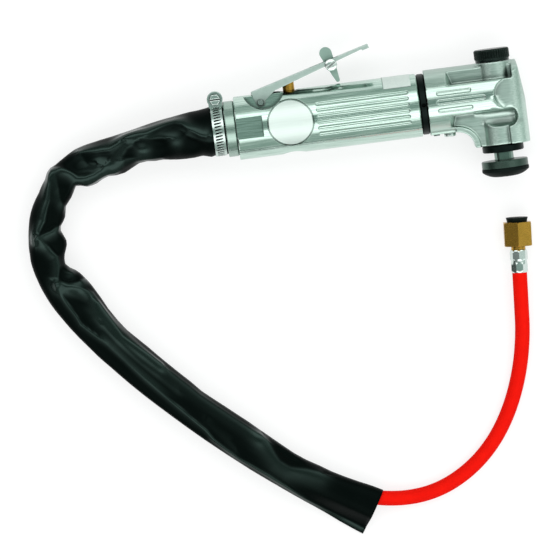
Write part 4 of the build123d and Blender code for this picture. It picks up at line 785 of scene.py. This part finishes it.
# Rings as distance along, radius to the corners, how far the jaws flattened it, and turn in degrees
crimps = [
    (0, 5.4, 0, 22.5), (0.15, 5.6, 0.3, 22.5), (0.9, 6.05, 0.8, 22.5), (1.6, 6.2, 1, 22.5),
    (5.6, 6.2, 1, 22.5), (6.6, 6.0, 0.5, 22.5), (7.3, 5.75, 0, 22.5), (8.2, 5.7, 0, 0),
    (8.9, 5.95, 0.5, 0), (9.6, 6.2, 1, 0), (14.4, 6.2, 1, 0), (15.3, 6.0, 0.6, 0),
    (16.0, 5.6, 0.2, 0), (16.4, 5.2, 0, 0)]
shell = []
for s, radius, pressed, start in crimps:
    for k in range(sides):
        angle = 2 * math.pi * k / sides
        jaw = (angle + math.radians(start)) % (2 * math.pi / jaws) - math.pi / jaws
        r = radius * (1 + pressed * (math.cos(math.pi / jaws) / math.cos(jaw) - 1)) * 0.001
        shell.append(foot + ahead * s * 0.001 + aside * r * math.cos(angle)
                     + Vector((0, 0, r * math.sin(angle))))
shell_faces = [(a, d, c, b) for a, b, c, d in hoops(len(crimps), sides)]
shell_faces += [tuple(range(sides)),
                tuple(reversed(range((len(crimps) - 1) * sides, len(crimps) * sides)))]
ferrule = drawn("crimped_ferrule", shell, shell_faces,
                machined("zinc_plated_steel", "#DCE6E2", "#BCCAC5", 0.1))
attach(ferrule, "tool")
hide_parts("hose_ferrule")


# ---- Air hose -----------------------------------------------------------------------------------
# A red PVC air hose runs through the sleeve and lies in a loose bend. It is smooth from the
# extruder, and handling has dulled it.

hose = route("air_hose_red", [
    (-202, 0, 22.75), (-224, 0, 22.75), (-258, -6.4, 15.5), (-288.8, -10.6, 10.5),
    (-310.8, -23.5, 9.1), (-325.7, -45.7, 9.1), (-330.0, -72.3, 9.1), (-322.3, -98.1, 9.1),
    (-304.8, -117.9, 9.1), (-276.1, -152.8, 9.1), (-240.1, -189.6, 9.1), (-203.1, -220, 9.1),
    (-161.1, -249.6, 9.1), (-127.1, -269.6, 12.2), (-99.8, -275.4, 5.35), (-74.4, -272.6, 5.35),
    (-51.2, -261.4, 5.35), (-32.2, -244.5, 5.35), (-17.6, -222.5, 5.35), (-7.2, -196.4, 5.65),
    (-1.7, -170.1, 7.95), (-0.216, -146.35, 11.07), (1.2, -126.4, 11.07)], 20, bevel=0.00525)

red_hose, tree, shader, place = finish("extruded_red_pvc", Roughness=0.5, Specular_IOR_Level=0.02)
cloud = noise(tree, place, 0.008, 2.0)
feed(tree, shader, Base_Color=mix(tree, cloud, linear("#E3120A"), linear("#F0180C")))
hose.data.materials.append(red_hose)
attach(hose, "tool")
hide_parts("air_hose")


# ---- Floor, light and camera --------------------------------------------------------------------
# White paper under a round light tent, with an opening at its top and a light box along each side.
# The camera looks straight down, leaning 4.2 degrees to the lever's side and turned 7.3 degrees.

paper = bpy.data.materials.new("white_paper")
paper.use_nodes = True
tree = paper.node_tree
tree.nodes.clear()
ray = add(tree, "ShaderNodeLightPath").outputs
lit = add(tree, "ShaderNodeBsdfDiffuse", {"Color": (0.8, 0.8, 0.8, 1)})
shaded = add(tree, "ShaderNodeBsdfDiffuse", {"Color": (0.34, 0.34, 0.34, 1)})
glow = add(tree, "ShaderNodeEmission", {"Color": (1, 1, 1, 1), "Strength": 0.7})
# White where it is seen, straight or in metal and glass, and still with the object's shadow
white = add(tree, "ShaderNodeAddShader", {0: shaded.outputs[0], 1: glow.outputs[0]})
seen = reckon(tree, "MAXIMUM", ray["Is Camera Ray"], ray["Is Glossy Ray"])
seen = reckon(tree, "MAXIMUM", seen, ray["Is Transmission Ray"])
sheet = add(tree, "ShaderNodeMixShader", {0: seen, 1: lit.outputs[0], 2: white.outputs[0]})
add(tree, "ShaderNodeOutputMaterial", {"Surface": sheet.outputs[0]})
floor = drawn("floor", [(-3, -3, 0), (3, -3, 0), (3, 3, 0), (-3, 3, 0)], [(0, 1, 2, 3)], paper)

world = bpy.data.worlds.new("light_tent")
scene.world = world
world.use_nodes = True
tree = world.node_tree
tree.nodes.clear()
direction = add(tree, "ShaderNodeTexCoord").outputs["Generated"]
to_x, to_y, to_z = add(tree, "ShaderNodeSeparateXYZ", {0: direction}).outputs
# How far a direction leans to either side, and how far it is from straight up: 1 is level
lean = reckon(tree, "ARCTAN2", reckon(tree, "ABSOLUTE", to_y), to_z)
lean = reckon(tree, "DIVIDE", lean, math.pi / 2)
from_top = reckon(tree, "DIVIDE", reckon(tree, "ARCCOSINE", to_z), math.pi / 2)


def ramp(tree, share, stops):
    """A ramp over degrees from straight up."""
    node = add(tree, "ShaderNodeValToRGB", {0: share})
    elements = node.color_ramp.elements
    elements.remove(elements[1])
    elements[0].position, elements[0].color = stops[0][0] / 90, (*stops[0][1], 1)
    for degrees, level in stops[1:]:
        elements.new(degrees / 90).color = (*level, 1)
    return node.outputs[0]


off, on = (0, 0, 0), (1, 1, 1)
boxes = ramp(tree, lean, [(0, off), (13, off), (20, on), (48, on), (56, off)])
ends = span(tree, reckon(tree, "ABSOLUTE", to_x), (0.70, 0.86), (1.0, 0.0))
boxes = reckon(tree, "MULTIPLY", boxes, ends)
dome = ramp(tree, from_top, [
    (0, (0.36, 0.48, 0.44)), (10, (0.38, 0.50, 0.46)), (24, (0.74, 0.80, 0.78)),
    (60, (0.66, 0.75, 0.71)), (82, (0.50, 0.62, 0.57)), (90, (0.60, 0.66, 0.64))])
# The tent's left end hangs in shadow
dome = mix(tree, 1.0, dome, span(tree, to_x, (-0.9, 0.3), (0.22, 1.0)), "MULTIPLY")
tent = mix(tree, boxes, dome, (2.0, 2.0, 2.0, 1))
light = add(tree, "ShaderNodeBackground", {"Color": tent, "Strength": 1.0})
add(tree, "ShaderNodeOutputWorld", {"Surface": light.outputs[0]})

tilt, roll = math.radians(4.2), math.radians(7.3)
stand_off, view_width, sensor = 4, 0.392, 36
aim = Vector((-0.0746, -0.10498, 0.02275))
away = Vector((0, math.sin(tilt), math.cos(tilt)))
lengthwise = Vector((1, 0, 0))
up = away.cross(lengthwise)
right = lengthwise * math.cos(roll) - up * math.sin(roll)
top = lengthwise * math.sin(roll) + up * math.cos(roll)
camera = shown("camera", bpy.data.cameras.new("camera"))
camera.data.lens = sensor * stand_off / view_width
camera.data.clip_end = 20
eye = aim + away * stand_off
camera.matrix_world = Matrix((
    (right.x, top.x, away.x, eye.x),
    (right.y, top.y, away.y, eye.y),
    (right.z, top.z, away.z, eye.z),
    (0, 0, 0, 1)))
scene.camera = camera
